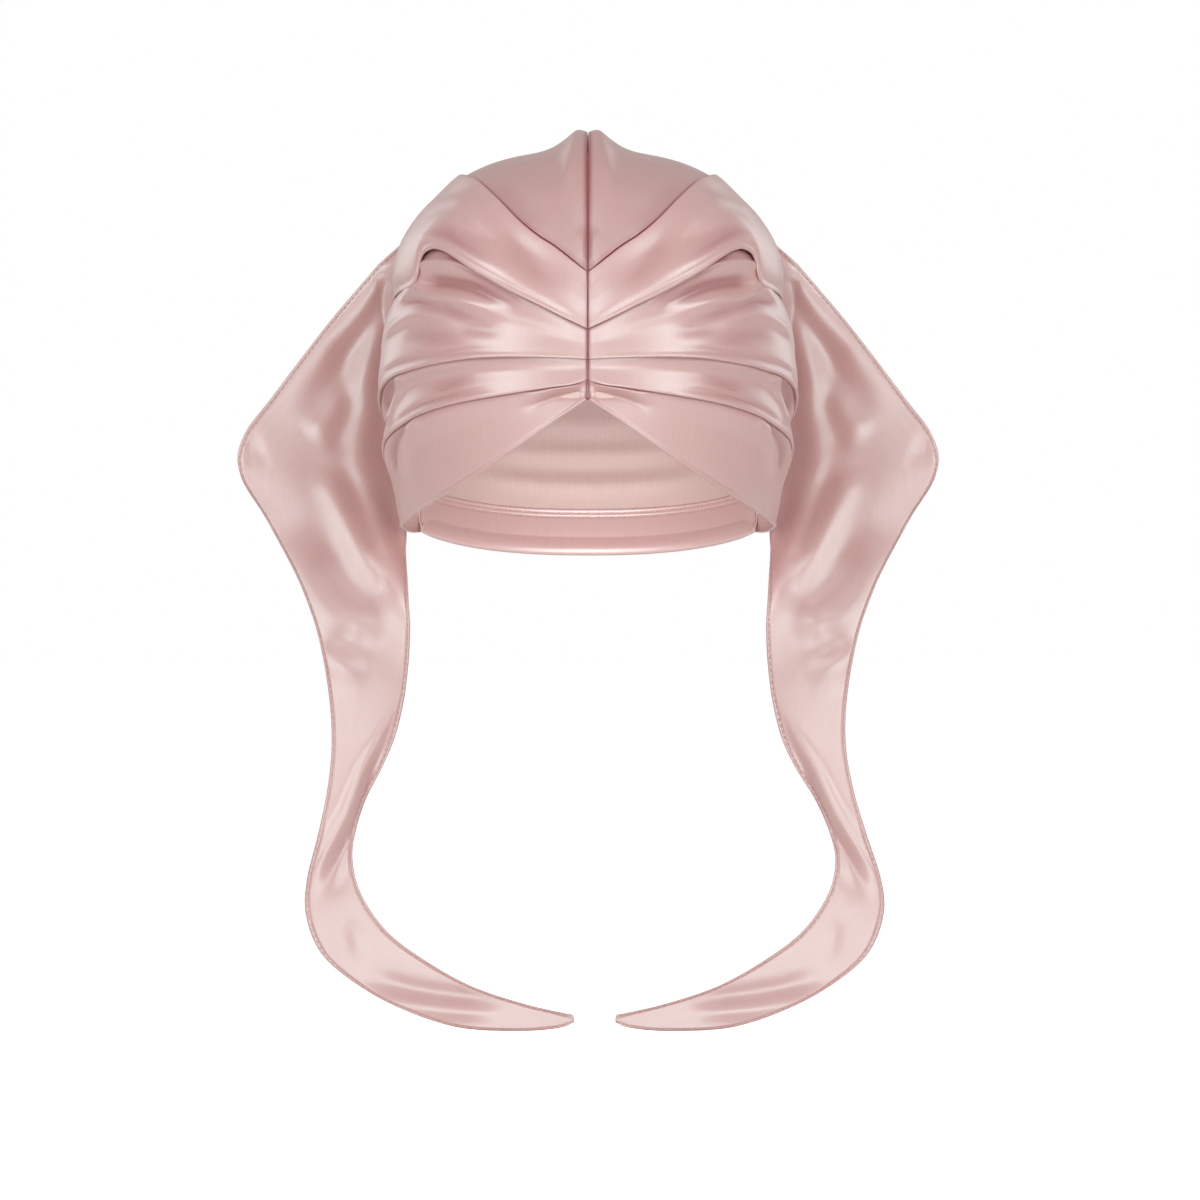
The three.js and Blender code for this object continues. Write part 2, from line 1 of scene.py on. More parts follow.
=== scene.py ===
"""Satin turban headwrap in its worn form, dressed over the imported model.

Two pleated front halves meet at the centre seam, two smooth gores make the crown, a back panel
ends in a turned and coverstitched nape hem, and two long tapered ties hang from the side seams.
Shapes are worked out in millimetres and become metres when a piece of cloth is laid.
"""

import logging
import math
from dataclasses import dataclass
from enum import Enum

import bmesh
import bpy
import numpy as np
from mathutils import Matrix, Vector


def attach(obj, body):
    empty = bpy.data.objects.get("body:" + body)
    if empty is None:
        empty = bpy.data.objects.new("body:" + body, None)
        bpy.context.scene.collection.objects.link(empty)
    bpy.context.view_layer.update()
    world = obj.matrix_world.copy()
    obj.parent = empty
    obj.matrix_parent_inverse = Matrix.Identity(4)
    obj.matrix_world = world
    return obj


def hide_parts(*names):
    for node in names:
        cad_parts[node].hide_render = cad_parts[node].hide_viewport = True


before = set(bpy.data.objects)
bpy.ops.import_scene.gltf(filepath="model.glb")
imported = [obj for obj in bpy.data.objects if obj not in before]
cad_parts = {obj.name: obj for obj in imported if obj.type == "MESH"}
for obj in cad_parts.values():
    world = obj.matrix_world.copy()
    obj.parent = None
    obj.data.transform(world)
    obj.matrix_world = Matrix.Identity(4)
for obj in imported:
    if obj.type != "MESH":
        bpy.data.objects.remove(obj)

LOG = logging.getLogger("turban")
MM = 0.001
CLOTH_UV = "cloth"
# Name of the attribute that holds the painted fold shade of each corner, from 0 to 1.
FOLD_SHADE = "fold_shade"


# numbers and curves


def unit(vectors: np.ndarray) -> np.ndarray:
    """Scales each vector to a length of one."""
    return vectors / np.maximum(np.linalg.norm(vectors, axis=-1, keepdims=True), 1e-9)


def dot(a: np.ndarray, b: np.ndarray) -> np.ndarray:
    """Multiplies each pair of vectors, keeping the last axis."""
    return np.sum(a * b, axis=-1, keepdims=True)


def ease(value: np.ndarray, start: float, end: float) -> np.ndarray:
    """Rises smoothly from 0 at start to 1 at end."""
    f = np.clip((value - start) / (end - start), 0.0, 1.0)
    return f * f * (3.0 - 2.0 * f)


def signed_power(value: np.ndarray, exponent: np.ndarray | float) -> np.ndarray:
    """Raises a value to a power and keeps its sign."""
    return np.sign(value) * np.abs(value) ** exponent


def read_smoothly(rows: np.ndarray, at: np.ndarray) -> np.ndarray:
    """Reads a table along its first column on a smooth curve.

    Args:
        rows: rows of a rising key and the values at it.
        at: the keys to read at.

    Returns:
        The values at each key, one row each.
    """
    keys, values = rows[:, 0], rows[:, 1:]
    slopes = np.gradient(values, keys, axis=0)
    cell = np.clip(np.searchsorted(keys, at, side="right") - 1, 0, len(keys) - 2)
    span = (keys[cell + 1] - keys[cell])[:, None]
    f = np.clip((at - keys[cell])[:, None] / span, 0.0, 1.0)
    from_start = values[cell] * (2 * f**3 - 3 * f**2 + 1) + slopes[cell] * span * (f**3 - 2 * f**2 + f)
    to_end = values[cell + 1] * (3 * f**2 - 2 * f**3) + slopes[cell + 1] * span * (f**3 - f**2)
    return from_start + to_end


def read_evenly(values: tuple, at: np.ndarray) -> np.ndarray:
    """Reads evenly spaced values on a smooth curve.

    Args:
        values: numbers or tuples of numbers, spread from 0 to 1.
        at: the places to read at, from 0 to 1.

    Returns:
        The values at each place, one row each.
    """
    table = np.array(values, dtype=float).reshape(len(values), -1)
    keys = np.linspace(0.0, 1.0, len(values))[:, None]
    return read_smoothly(np.hstack([keys, table]), np.clip(at, 0.0, 1.0))


# the worn form


@dataclass(frozen=True)
class HeadForm:
    """The rounded form that the wrap lies on, with a low ridge over the crown. Sizes are in mm."""

    half_width: float = 88.0
    front_depth: float = 97.0
    back_depth: float = 101.0
    crown_rise: float = 108.0
    lower_drop: float = 143.0
    widest_level: float = 60.0
    plan_power: float = 2.4
    crown_power: float = 2.8
    peak: float = 11.0
    peak_width: float = 12.5

    def lay(self, places: np.ndarray) -> tuple[np.ndarray, np.ndarray, np.ndarray]:
        """Puts places on the form.

        Args:
            places: shares of the half width, depth and height, in any length.

        Returns:
            The points on the form, its outward normals there and the places' shares.
        """
        upright = np.where(places[..., 2] > 0, self.crown_power, self.plan_power)
        plan = np.sum(np.abs(places[..., :2]) ** self.plan_power, axis=-1)
        length = (plan ** (upright / self.plan_power) + np.abs(places[..., 2]) ** upright) ** (1 / upright)
        share = places / length[..., None]
        depth = np.where(share[..., 1] < 0, self.front_depth, self.back_depth)
        height = np.where(share[..., 2] > 0, self.crown_rise, self.lower_drop)
        level = np.maximum(plan / length**self.plan_power, 1e-6) ** (upright / self.plan_power - 1)
        normal = np.stack(
            [
                level * signed_power(share[..., 0], self.plan_power - 1) / self.half_width,
                level * signed_power(share[..., 1], self.plan_power - 1) / depth,
                signed_power(share[..., 2], upright - 1) / height,
            ],
            axis=-1,
        )
        point = np.stack(
            [
                share[..., 0] * self.half_width,
                share[..., 1] * depth,
                self.widest_level + share[..., 2] * height,
            ],
            axis=-1,
        )
        return point, unit(normal), share

    def shares(self, points: np.ndarray) -> np.ndarray:
        """Turns points in mm into shares of the half width, depth and height."""
        depth = np.where(points[..., 1] < 0, self.front_depth, self.back_depth)
        rise = points[..., 2] - self.widest_level
        height = np.where(rise > 0, self.crown_rise, self.lower_drop)
        return np.stack([points[..., 0] / self.half_width, points[..., 1] / depth, rise / height], axis=-1)

    def lift(self, places: np.ndarray, heights: np.ndarray) -> np.ndarray:
        """Lays places on the form and raises them.

        Args:
            places: shares of the form.
            heights: how far to raise each place off the form, in mm.

        Returns:
            The raised points, with the ridge over the crown added.
        """
        point, normal, share = self.lay(places)
        on_top = ease(share[..., 2], 0.6, 1.0) * (1 - ease(share[..., 1], 0.1, 0.8))
        raised = point + normal * heights[..., None]
        raised[..., 2] += self.peak * on_top * np.exp(-((point[..., 0] / self.peak_width) ** 2))
        return raised

    def seen_from_front(self, out: np.ndarray, up: np.ndarray, height: np.ndarray) -> np.ndarray:
        """Finds the places that show at given points of the front view.

        Args:
            out: how far left of the centre each point shows, in mm.
            up: how far above the temples each point shows, in mm.
            height: how far off the form the cloth lies there, in mm.

        Returns:
            The places, as shares of the form.
        """
        across, rise = -out, up.copy()
        for _ in range(30):
            level = rise - self.widest_level
            z = level / np.where(level > 0, self.crown_rise, self.lower_drop)
            x = across / self.half_width
            power = np.where(z > 0, self.crown_power, self.plan_power)
            ring = np.maximum(1 - np.minimum(np.abs(z), 0.9999) ** power, 0)
            left = ring ** (self.plan_power / power) - np.abs(x) ** self.plan_power
            place = np.stack([x, -(np.maximum(left, 0) ** (1 / self.plan_power)), z], axis=-1)
            normal = self.lay(place)[1]
            across = across + 0.6 * (-out - height * normal[..., 0] - across)
            rise = rise + 0.6 * (up - height * normal[..., 2] - rise)
        return place


SIDE_SEAM = (
    (0, 0.26, 0.985),
    (-0.34, 0.29, 0.96),
    (-0.62, 0.33, 0.86),
    (-0.85, 0.37, 0.6),
    (-0.96, 0.4, 0.24),
    (-0.95, 0.42, -0.08),
    (-0.874, 0.45, -0.437),
)


def on_side_seam(at: np.ndarray) -> np.ndarray:
    """Places on the seam that runs over the crown and down behind the ear, 0 at the top."""
    return read_evenly(SIDE_SEAM, at)


@dataclass(frozen=True)
class ClothLine:
    """A seam, lip or edge of the front half, from the centre seam to the side seam.

    seen holds rows of how far along the line, mm out from the centre, mm up, and lip height in
    mm. hidden holds rows behind the ear: how far along, three shares of the form, and lip height.
    """

    seen: tuple[tuple[float, float, float, float], ...]
    hidden: tuple[tuple[float, float, float, float, float], ...]
    seam_at: float
    seam_lip: float

    def trace(self, form: HeadForm, at: np.ndarray) -> tuple[np.ndarray, np.ndarray]:
        """Follows the line.

        Args:
            form: the form it lies on.
            at: how far along it, 0 at the centre seam and 1 at the side seam.

        Returns:
            The places on the form, and the lip's height at each.
        """
        seen = np.array(self.seen, dtype=float)
        places = form.seen_from_front(seen[:, 1], seen[:, 2], seen[:, 3])
        rows = [np.column_stack([seen[:, 0], places, seen[:, 3]])]
        if self.hidden:
            rows.append(np.array(self.hidden, dtype=float))
        end = on_side_seam(np.array([self.seam_at]))[0]
        rows.append(np.array([[1.0, *end, self.seam_lip]]))
        table = read_smoothly(np.vstack(rows), at)
        return table[:, :3], np.maximum(table[:, 3], 0.2)


GORE_SEAM = ClothLine(
    seen=(
        (0, 0.0, 111.6, 0.7),
        (0.09, 6.8, 116.8, 0.7),
        (0.18, 14.8, 123.1, 0.8),
        (0.27, 22.9, 128.5, 0.9),
        (0.36, 31.1, 135.7, 1.1),
        (0.44, 38.2, 143.3, 1.3),
        (0.52, 44.6, 149.8, 1.6),
        (0.6, 50.4, 155.0, 2),
        (0.68, 54.9, 156.8, 2.2),
        (0.76, 58.5, 157.1, 2.2),
    ),
    hidden=(),
    seam_at=0.333,
    seam_lip=0.9,
)
UPPER_LIP = ClothLine(
    seen=(
        (0, 0.0, 86.0, 1.6),
        (0.09, 10.3, 90.7, 2.2),
        (0.18, 21.2, 96.1, 2.9),
        (0.27, 31.9, 101.2, 3.6),
        (0.36, 42.3, 106.9, 4.8),
        (0.44, 51.8, 112.5, 5.6),
        (0.51, 59.4, 117.9, 6.2),
        (0.56, 64.4, 121.0, 6.4),
        (0.6, 69.0, 122.0, 6.3),
        (0.64, 73.0, 120.0, 6.0),
        (0.68, 74.8, 115.6, 5.5),
        (0.72, 75.6, 110.8, 4.7),
        (0.76, 78.0, 105.9, 3.6),
        (0.82, 86.2, 102.4, 1.8),
    ),
    hidden=((0.91, -0.965, 0.12, 0.385, 1.5),),
    seam_at=0.6,
    seam_lip=0.9,
)
# The fold line under the upper lip, which doesn't curl round with it.
UPPER_TUCK = ClothLine(
    seen=(
        (0, 0.0, 86.0, 1.4),
        (0.09, 10.3, 90.7, 1.9),
        (0.18, 21.2, 96.1, 2.5),
        (0.27, 31.9, 101.2, 3.1),
        (0.36, 42.3, 106.9, 4.1),
        (0.44, 51.8, 112.5, 4.8),
        (0.51, 59.0, 117.7, 5.2),
        (0.56, 64.4, 120.2, 5.3),
        (0.6, 68.9, 120.6, 5.2),
        (0.64, 73.0, 118.6, 4.9),
        (0.68, 76.6, 114.6, 4.4),
        (0.72, 79.8, 109.8, 3.7),
        (0.76, 82.8, 105.8, 2.8),
        (0.82, 86.6, 102.4, 1.5),
    ),
    hidden=((0.91, -0.965, 0.12, 0.385, 1.2),),
    seam_at=0.6,
    seam_lip=0.9,
)
MIDDLE_LIP = ClothLine(
    seen=(
        (0, 0.0, 72.5, 1.3),
        (0.1, 12.6, 73.1, 1.8),
        (0.2, 25.7, 73.4, 2.3),
        (0.3, 38.2, 73.4, 2.8),
        (0.4, 50.9, 72.9, 3.4),
        (0.5, 62.6, 71.5, 4.2),
        (0.58, 71.5, 70.0, 4.9),
        (0.66, 80.5, 67.7, 5.3),
        (0.72, 87.0, 65.4, 5.8),
        (0.762, 91.2, 61.9, 6.0),
    ),
    hidden=(
        (0.8, -0.994, -0.17, -0.023, 5.8),
        (0.835, -1.0, -0.05, -0.063, 4.6),
        (0.87, -0.997, 0.06, -0.097, 2.6),
        (0.92, -0.985, 0.2, -0.106, 1.6),
    ),
    seam_at=0.85,
    seam_lip=1.3,
)
LOWER_LIP = ClothLine(
    seen=(
        (0, 0.0, 63.5, 1.3),
        (0.07, 6.3, 61.4, 1.7),
        (0.15, 15.8, 60.1, 2),
        (0.25, 28.8, 58.1, 2.4),
        (0.35, 41.9, 56.0, 2.9),
        (0.45, 54.9, 53.8, 3.4),
        (0.54, 65.7, 51.3, 3.9),
        (0.62, 75.2, 48.1, 4.3),
        (0.69, 82.8, 43.9, 4.5),
        (0.745, 88.4, 39.8, 4.6),
        (0.785, 91.0, 36.0, 4.6),
    ),
    hidden=(
        (0.82, -0.99, -0.1, -0.2, 4.2),
        (0.85, -0.985, 0.0, -0.235, 2.8),
        (0.89, -0.975, 0.12, -0.27, 1.3),
    ),
    seam_at=0.93,
    seam_lip=1.2,
)
BROW_EDGE = ClothLine(
    seen=(
        (0, 0.0, 54.9, 0.9),
        (0.12, 13.1, 46.1, 0.9),
        (0.25, 27.4, 36.2, 0.9),
        (0.37, 41.4, 26.6, 0.9),
        (0.48, 54.5, 18.2, 0.9),
        (0.58, 66.2, 11.2, 0.9),
        (0.67, 76.0, 5.2, 0.9),
        (0.75, 82.8, 0.5, 0.9),
    ),
    hidden=((0.88, -0.93, 0.12, -0.422, 0.9),),
    seam_at=1.0,
    seam_lip=0.9,
)


# folds in the cloth


class FoldShape(Enum):
    """What a fold looks like when it is cut across."""

    ROUND = "a soft ridge, or a valley where its height is negative"
    CREASE = "a ridge or valley with a sharp middle"
    BANK = "a slope: raised on the left of the path and let down on its right"


@dataclass(frozen=True)
class Fold:
    """A fold along a path of points, given as mm out from the centre and mm up.

    width is how far it spreads to each side, in mm, at the start and at the end of the path.
    fade is the share of the path over which it comes up at the start and dies away at the end.
    """

    path: tuple[tuple[float, float], ...]
    height: float
    width: tuple[float, float]
    shape: FoldShape = FoldShape.ROUND
    fade: tuple[float, float] = (0.3, 0.3)
    over: float = 3.0

    def profile(self, distance: np.ndarray) -> np.ndarray:
        """Cuts the fold across.

        Args:
            distance: how far from the path, in widths, with its side as its sign.

        Returns:
            The share of the fold's height there.
        """
        if self.shape is FoldShape.CREASE:
            return np.exp(-(np.abs(distance) ** 1.15))
        if self.shape is FoldShape.BANK:
            return distance * np.exp(0.5 - 0.5 * distance**2)
        return np.exp(-(distance**2))

    def raise_cloth(self, points: np.ndarray, path: np.ndarray, normals: np.ndarray) -> np.ndarray:
        """Works out how far the fold raises the cloth.

        Args:
            points: the points of the cloth.
            path: the fold's path, as points close to each other.
            normals: the way out of the cloth at each point.

        Returns:
            The height in mm at each point.
        """
        flat = points.reshape(-1, 3)
        start, run = path[:-1], np.diff(path, axis=0)
        along = np.einsum("ijk,jk->ij", flat[:, None] - start[None], run) / np.sum(run**2, axis=-1)
        along = np.clip(along, 0.0, 1.0)
        foot = start[None] + along[..., None] * run[None]
        distance = np.linalg.norm(flat[:, None] - foot, axis=-1)
        nearest = np.argmin(distance, axis=1)
        pick = np.arange(len(flat))
        away = flat - foot[pick, nearest]
        left = np.cross(normals.reshape(-1, 3), run[nearest])
        side = np.sign(np.sum(away * left, axis=-1))
        place = (nearest + along[pick, nearest]) / len(run)
        width = self.width[0] + (self.width[1] - self.width[0]) * place
        bow = ease(place, 0.0, self.fade[0]) * (1 - ease(place, 1 - self.fade[1], 1.0))
        height = self.height * bow * self.profile(side * distance[pick, nearest] / width)
        return height.reshape(points.shape[:-1])


def even_path(path: tuple, count: int = 28) -> np.ndarray:
    """Spreads points evenly along a smooth path.

    Args:
        path: the points it runs through.
        count: how many points to return.

    Returns:
        The points along it.
    """
    points = np.array(path, dtype=float)
    steps = np.concatenate([[0.0], np.cumsum(np.linalg.norm(np.diff(points, axis=0), axis=1))])
    table = np.column_stack([steps / steps[-1], points])
    return read_smoothly(table, np.linspace(0.0, 1.0, count))


@dataclass(frozen=True)
class Folds:
    """A set of folds that one piece of cloth carries."""

    folds: tuple[Fold, ...]

    def over_form(self, form: HeadForm, points: np.ndarray, normals: np.ndarray) -> np.ndarray:
        """Adds up the folds of cloth that lies on the form.

        Args:
            form: the form.
            points: points on the form itself.
            normals: the form's normals there.

        Returns:
            How far the folds raise each point, in mm.
        """
        height = np.zeros(points.shape[:-1])
        for fold in self.folds:
            path = even_path(fold.path)
            places = form.seen_from_front(path[:, 0], path[:, 1], np.full(len(path), fold.over))
            height += fold.raise_cloth(points, form.lay(places)[0], normals)
        return height

    def over_flat(self, out: np.ndarray, up: np.ndarray) -> np.ndarray:
        """Adds up the folds of cloth that hangs facing the front.

        Args:
            out: how far left of the centre each point is, in mm.
            up: how far up each point is, in mm.

        Returns:
            How far the folds bring each point forward, in mm.
        """
        points = np.stack([-out, np.zeros_like(out), up], axis=-1)
        normals = np.broadcast_to(np.array([0.0, -1.0, 0.0]), points.shape)
        height = np.zeros(out.shape)
        for fold in self.folds:
            path = even_path(fold.path)
            flat = np.stack([-path[:, 0], np.zeros(len(path)), path[:, 1]], axis=-1)
            height += fold.raise_cloth(points, flat, normals)
        return height


# sheets of cloth


class Edge(Enum):
    """One of the four edges of a grid of cloth."""

    FIRST_ROW = "first row"
    LAST_ROW = "last row"
    FIRST_COLUMN = "first column"
    LAST_COLUMN = "last column"


def turn_in(
    points: np.ndarray, edge: Edge, form: HeadForm, radius: float, gap: float, depth: float = 2.0
) -> np.ndarray:
    """Turns the cloth in at a seam, as a sewn seam allowance.

    Args:
        points: the grid, whose edge lies on the seam line.
        edge: which edge is sewn.
        form: the form, which says which way is in.
        radius: radius of the turn, in mm.
        gap: how far short of the seam line the turn stays, in mm.
        depth: how deep the allowance goes, in mm.

    Returns:
        The grid with its edge rows replaced by the turn.
    """
    grid = np.swapaxes(points, 0, 1) if edge in (Edge.FIRST_COLUMN, Edge.LAST_COLUMN) else points
    last = edge in (Edge.LAST_ROW, Edge.LAST_COLUMN)
    if last:
        grid = grid[::-1]
    border = grid[0]
    normal = form.lay(form.shares(border))[1]
    away = border - grid[2]
    away = unit(away - dot(away, normal) * normal)
    start = border - away * (radius + gap)
    turn = [
        start + away * radius * math.sin(angle) - normal * radius * (1 - math.cos(angle))
        for angle in np.radians([0, 22, 45, 67, 90])
    ]
    allowance = [turn[-1] - normal * depth * share for share in (0.5, 1.0)]
    grid = np.concatenate([np.array((turn + allowance)[::-1]), grid[1:]])
    if last:
        grid = grid[::-1]
    return np.swapaxes(grid, 0, 1) if edge in (Edge.FIRST_COLUMN, Edge.LAST_COLUMN) else grid


def measured(points: np.ndarray, axis: int) -> np.ndarray:
    """Mean distance along one axis of a grid, from 0 at its start."""
    steps = np.linalg.norm(np.diff(points, axis=axis), axis=-1).mean(axis=1 - axis)
    return np.concatenate([[0.0], np.cumsum(steps)])


def lay_cloth(
    name: str, points: np.ndarray, outward: tuple[float, float, float], fold_shade: np.ndarray
) -> bpy.types.Object:
    """Makes a sheet by moving the corners of a flat grid to where the cloth lies.

    Args:
        name: name of the piece.
        points: where each corner lies, as rows of columns, in mm.
        outward: a direction that most of the cloth's right side faces.
        fold_shade: how much painted shade each corner takes in its colour, from 0 to 1.

    Returns:
        The new object, with its flat measures in mm as its UV map and its painted shade as an attribute.
    """
    rows, columns = points.shape[:2]
    down, across = measured(points, 0), measured(points, 1)
    sheet = bmesh.new()
    flat = sheet.loops.layers.uv.new(CLOTH_UV)
    # the painted fold shade of each corner, which the satin reads to darken its colour
    depth = sheet.verts.layers.float.new(FOLD_SHADE)
    bmesh.ops.create_grid(sheet, x_segments=columns - 1, y_segments=rows - 1, size=0.5, calc_uvs=True)
    for vert in sheet.verts:
        column = round((vert.co.x + 0.5) * (columns - 1))
        row = round((vert.co.y + 0.5) * (rows - 1))
        for loop in vert.link_loops:
            loop[flat].uv = (across[column], down[row])
        vert.co = points[row, column] * MM
        vert[depth] = float(fold_shade[row, column])
    sheet.normal_update()
    facing = sum(face.normal.dot(Vector(outward)) * face.calc_area() for face in sheet.faces)
    if facing < 0:
        bmesh.ops.reverse_faces(sheet, faces=sheet.faces)
    return finish_mesh(name, sheet)


def finish_mesh(name: str, shape: bmesh.types.BMesh) -> bpy.types.Object:
    """Turns a bmesh into a smooth-shaded object in the scene.

    Args:
        name: name of the piece.
        shape: its shape, in metres, which is freed.

    Returns:
        The object.
    """
    for face in shape.faces:
        face.smooth = True
    mesh = bpy.data.meshes.new(name)
    shape.to_mesh(mesh)
    shape.free()
    piece = bpy.data.objects.new(name, mesh)
    bpy.context.scene.collection.objects.link(piece)
    return piece


def mirrored(piece: bpy.types.Object, name: str) -> bpy.types.Object:
    """Makes the same piece for the other side of the head.

    Args:
        piece: the left piece.
        name: name of the right piece.

    Returns:
        The right piece.
    """
    shape = bmesh.new()
    shape.from_mesh(piece.data)
    bmesh.ops.scale(shape, vec=(-1, 1, 1), verts=shape.verts)
    bmesh.ops.reverse_faces(shape, faces=shape.faces)
    return finish_mesh(name, shape)


def give_wall(piece: bpy.types.Object, wall: float, lined: bool) -> None:
    """Gives a sheet its thickness, inwards from its right side.

    Args:
        piece: the sheet.
        wall: its thickness in mm.
        lined: whether the inside shows the duller reverse of the satin.
    """
    solidify = piece.modifiers.new("cloth wall", "SOLIDIFY")
    solidify.thickness = wall * MM
    solidify.offset = -1.0
    solidify.material_offset = 1 if lined else 0


# finishes


def linear(hex_colour: str) -> tuple[float, float, float, float]:
    """Turns an sRGB hex colour into a linear one."""
    values = [int(hex_colour[i : i + 2], 16) / 255 for i in (1, 3, 5)]
    red, green, blue = [v / 12.92 if v <= 0.04045 else ((v + 0.055) / 1.055) ** 2.4 for v in values]
    return (red, green, blue, 1.0)


def add_node(tree: bpy.types.NodeTree, kind: str, inputs: dict | None = None, **settings) -> bpy.types.Node:
    """Adds a node with its settings and links.

    Args:
        tree: the node tree.
        kind: the node's type.
        inputs: input sockets by name or number, each with a value or an output socket.
        **settings: the node's own settings.

    Returns:
        The new node.
    """
    node = tree.nodes.new(kind)
    for name, value in settings.items():
        setattr(node, name, value)
    for name, value in (inputs or {}).items():
        if isinstance(value, bpy.types.NodeSocket):
            tree.links.new(value, node.inputs[name])
        else:
            node.inputs[name].default_value = value
    return node


@dataclass(frozen=True)
class Satin:
    """Woven polyester satin: long warp floats give one side a broad soft gloss.

    Sizes are in mm. thread is the float spacing, far finer in the real cloth than a render can
    show, so it is drawn as coarse as the faint lines that the eye picks up. The fold shade colour
    is painted shade: the colour is tinted towards this deeper pink in folds, under lips and by
    seams, where the light goes from fold to fold and comes out a deeper pink.
    """

    name: str
    colour: str
    deep_colour: str
    # painted shade: the deep pink that folds, lip undersides and seams are tinted towards
    fold_shade_colour: str = "#9c464c"
    roughness: float = 0.35
    ior: float = 1.75
    gloss: float = 1.0
    coat: float = 0.3
    sheen: float = 0.18
    grain_turn: float = 0.0
    thread: float = 0.65
    slub_length: float = 16.0
    drape: float = 9.0

    def material(self) -> bpy.types.Material:
        """Builds the satin from its weave, its slubs, the soft unevenness of its drape and its painted fold
        shade.
        """
        material = bpy.data.materials.new(self.name)
        material.use_nodes = True
        tree = material.node_tree
        tree.nodes.clear()
        flat = add_node(tree, "ShaderNodeUVMap", uv_map=CLOTH_UV).outputs["UV"]
        turned = add_node(
            tree,
            "ShaderNodeMapping",
            {"Vector": flat, "Rotation": (0.0, 0.0, math.radians(self.grain_turn))},
        ).outputs["Vector"]
        floats = add_node(
            tree,
            "ShaderNodeMapping",
            {"Vector": turned, "Scale": (1 / self.thread, 1 / self.slub_length, 1.0)},
        ).outputs["Vector"]
        thread = add_node(
            tree, "ShaderNodeTexNoise", {"Vector": floats, "Scale": 1.0, "Detail": 3.0, "Roughness": 0.6}
        ).outputs["Fac"]
        drape = add_node(
            tree,
            "ShaderNodeTexNoise",
            {"Vector": turned, "Scale": 1 / self.drape, "Detail": 2.0, "Roughness": 0.45},
        ).outputs["Fac"]
        shade = add_node(
            tree,
            "ShaderNodeMapRange",
            {"Value": thread, "From Min": 0.3, "From Max": 0.7, "To Min": 0.0, "To Max": 0.5},
        ).outputs["Result"]
        colour = add_node(
            tree,
            "ShaderNodeMix",
            {"Factor": shade, 6: linear(self.colour), 7: linear(self.deep_colour)},
            data_type="RGBA",
        ).outputs[2]
        # Painted shade: the colour is mixed towards the deep pink as far as the fold shade attribute says, so
        # folds, lip undersides and seams come out darker.
        fold_shade = add_node(tree, "ShaderNodeAttribute", attribute_name=FOLD_SHADE).outputs["Fac"]
        colour = add_node(
            tree,
            "ShaderNodeMix",
            {"Factor": fold_shade, 6: colour, 7: linear(self.fold_shade_colour)},
            data_type="RGBA",
        ).outputs[2]
        rough = add_node(
            tree,
            "ShaderNodeMapRange",
            {
                "Value": thread,
                "From Min": 0.25,
                "From Max": 0.75,
                "To Min": self.roughness - 0.03,
                "To Max": self.roughness + 0.05,
            },
        ).outputs["Result"]
        soft = add_node(
            tree, "ShaderNodeBump", {"Height": drape, "Strength": 0.2, "Distance": 0.25 * MM}
        ).outputs["Normal"]
        weave = add_node(
            tree,
            "ShaderNodeBump",
            {"Height": thread, "Strength": 0.22, "Distance": 0.05 * MM, "Normal": soft},
        ).outputs["Normal"]
        tangent = add_node(tree, "ShaderNodeTangent", direction_type="UV_MAP", uv_map=CLOTH_UV)
        shader = add_node(
            tree,
            "ShaderNodeBsdfPrincipled",
            {
                "Base Color": colour,
                "Roughness": rough,
                "Normal": weave,
                "Tangent": tangent.outputs["Tangent"],
                "IOR": self.ior,
                "Specular IOR Level": self.gloss,
                "Specular Tint": (0.76, 1.0, 0.97, 1.0),
                "Anisotropic": 0.35,
                "Coat Weight": self.coat,
                "Coat Roughness": 0.3,
                "Sheen Weight": self.sheen,
                "Sheen Roughness": 0.4,
                "Sheen Tint": linear("#e9dcd8"),
            },
        )
        add_node(tree, "ShaderNodeOutputMaterial", {"Surface": shader.outputs["BSDF"]})
        return material


@dataclass(frozen=True)
class Thread:
    """Spun polyester sewing thread: matt, twisted, a little darker than the satin."""

    name: str
    colour: str

    def material(self) -> bpy.types.Material:
        """Builds the thread, with its twist as fine slanted bands."""
        material = bpy.data.materials.new(self.name)
        material.use_nodes = True
        tree = material.node_tree
        tree.nodes.clear()
        place = add_node(tree, "ShaderNodeTexCoord").outputs["Object"]
        twist = add_node(
            tree,
            "ShaderNodeTexNoise",
            {"Vector": place, "Scale": 1 / (0.4 * MM), "Detail": 1.0},
        ).outputs["Fac"]
        bump = add_node(tree, "ShaderNodeBump", {"Height": twist, "Strength": 0.3, "Distance": 0.05 * MM})
        shader = add_node(
            tree,
            "ShaderNodeBsdfPrincipled",
            {
                "Base Color": linear(self.colour),
                "Roughness": 0.6,
                "Sheen Weight": 0.2,
                "Normal": bump.outputs["Normal"],
            },
        )
        add_node(tree, "ShaderNodeOutputMaterial", {"Surface": shader.outputs["BSDF"]})
        return material


# the pleated front


@dataclass(frozen=True)
class Pleat:
    """One pleat of the front: from the line it starts at to the lip it ends in. Sizes in mm.

    fill says, from the centre to the side, how closely the pleat comes up under the lip above it.
    """

    upper: ClothLine
    lower: ClothLine
    rows: int
    puff: tuple[float, ...]
    folds: Folds
    lip_rise_from: float = 0.45
    starts_at_lip: bool = False
    puff_peak: float = 0.6
    rim: float = 0.4
    rim_width: float = 1.2
    least_rim: float = 0.2
    fill: tuple[float, ...] = (0.0,)


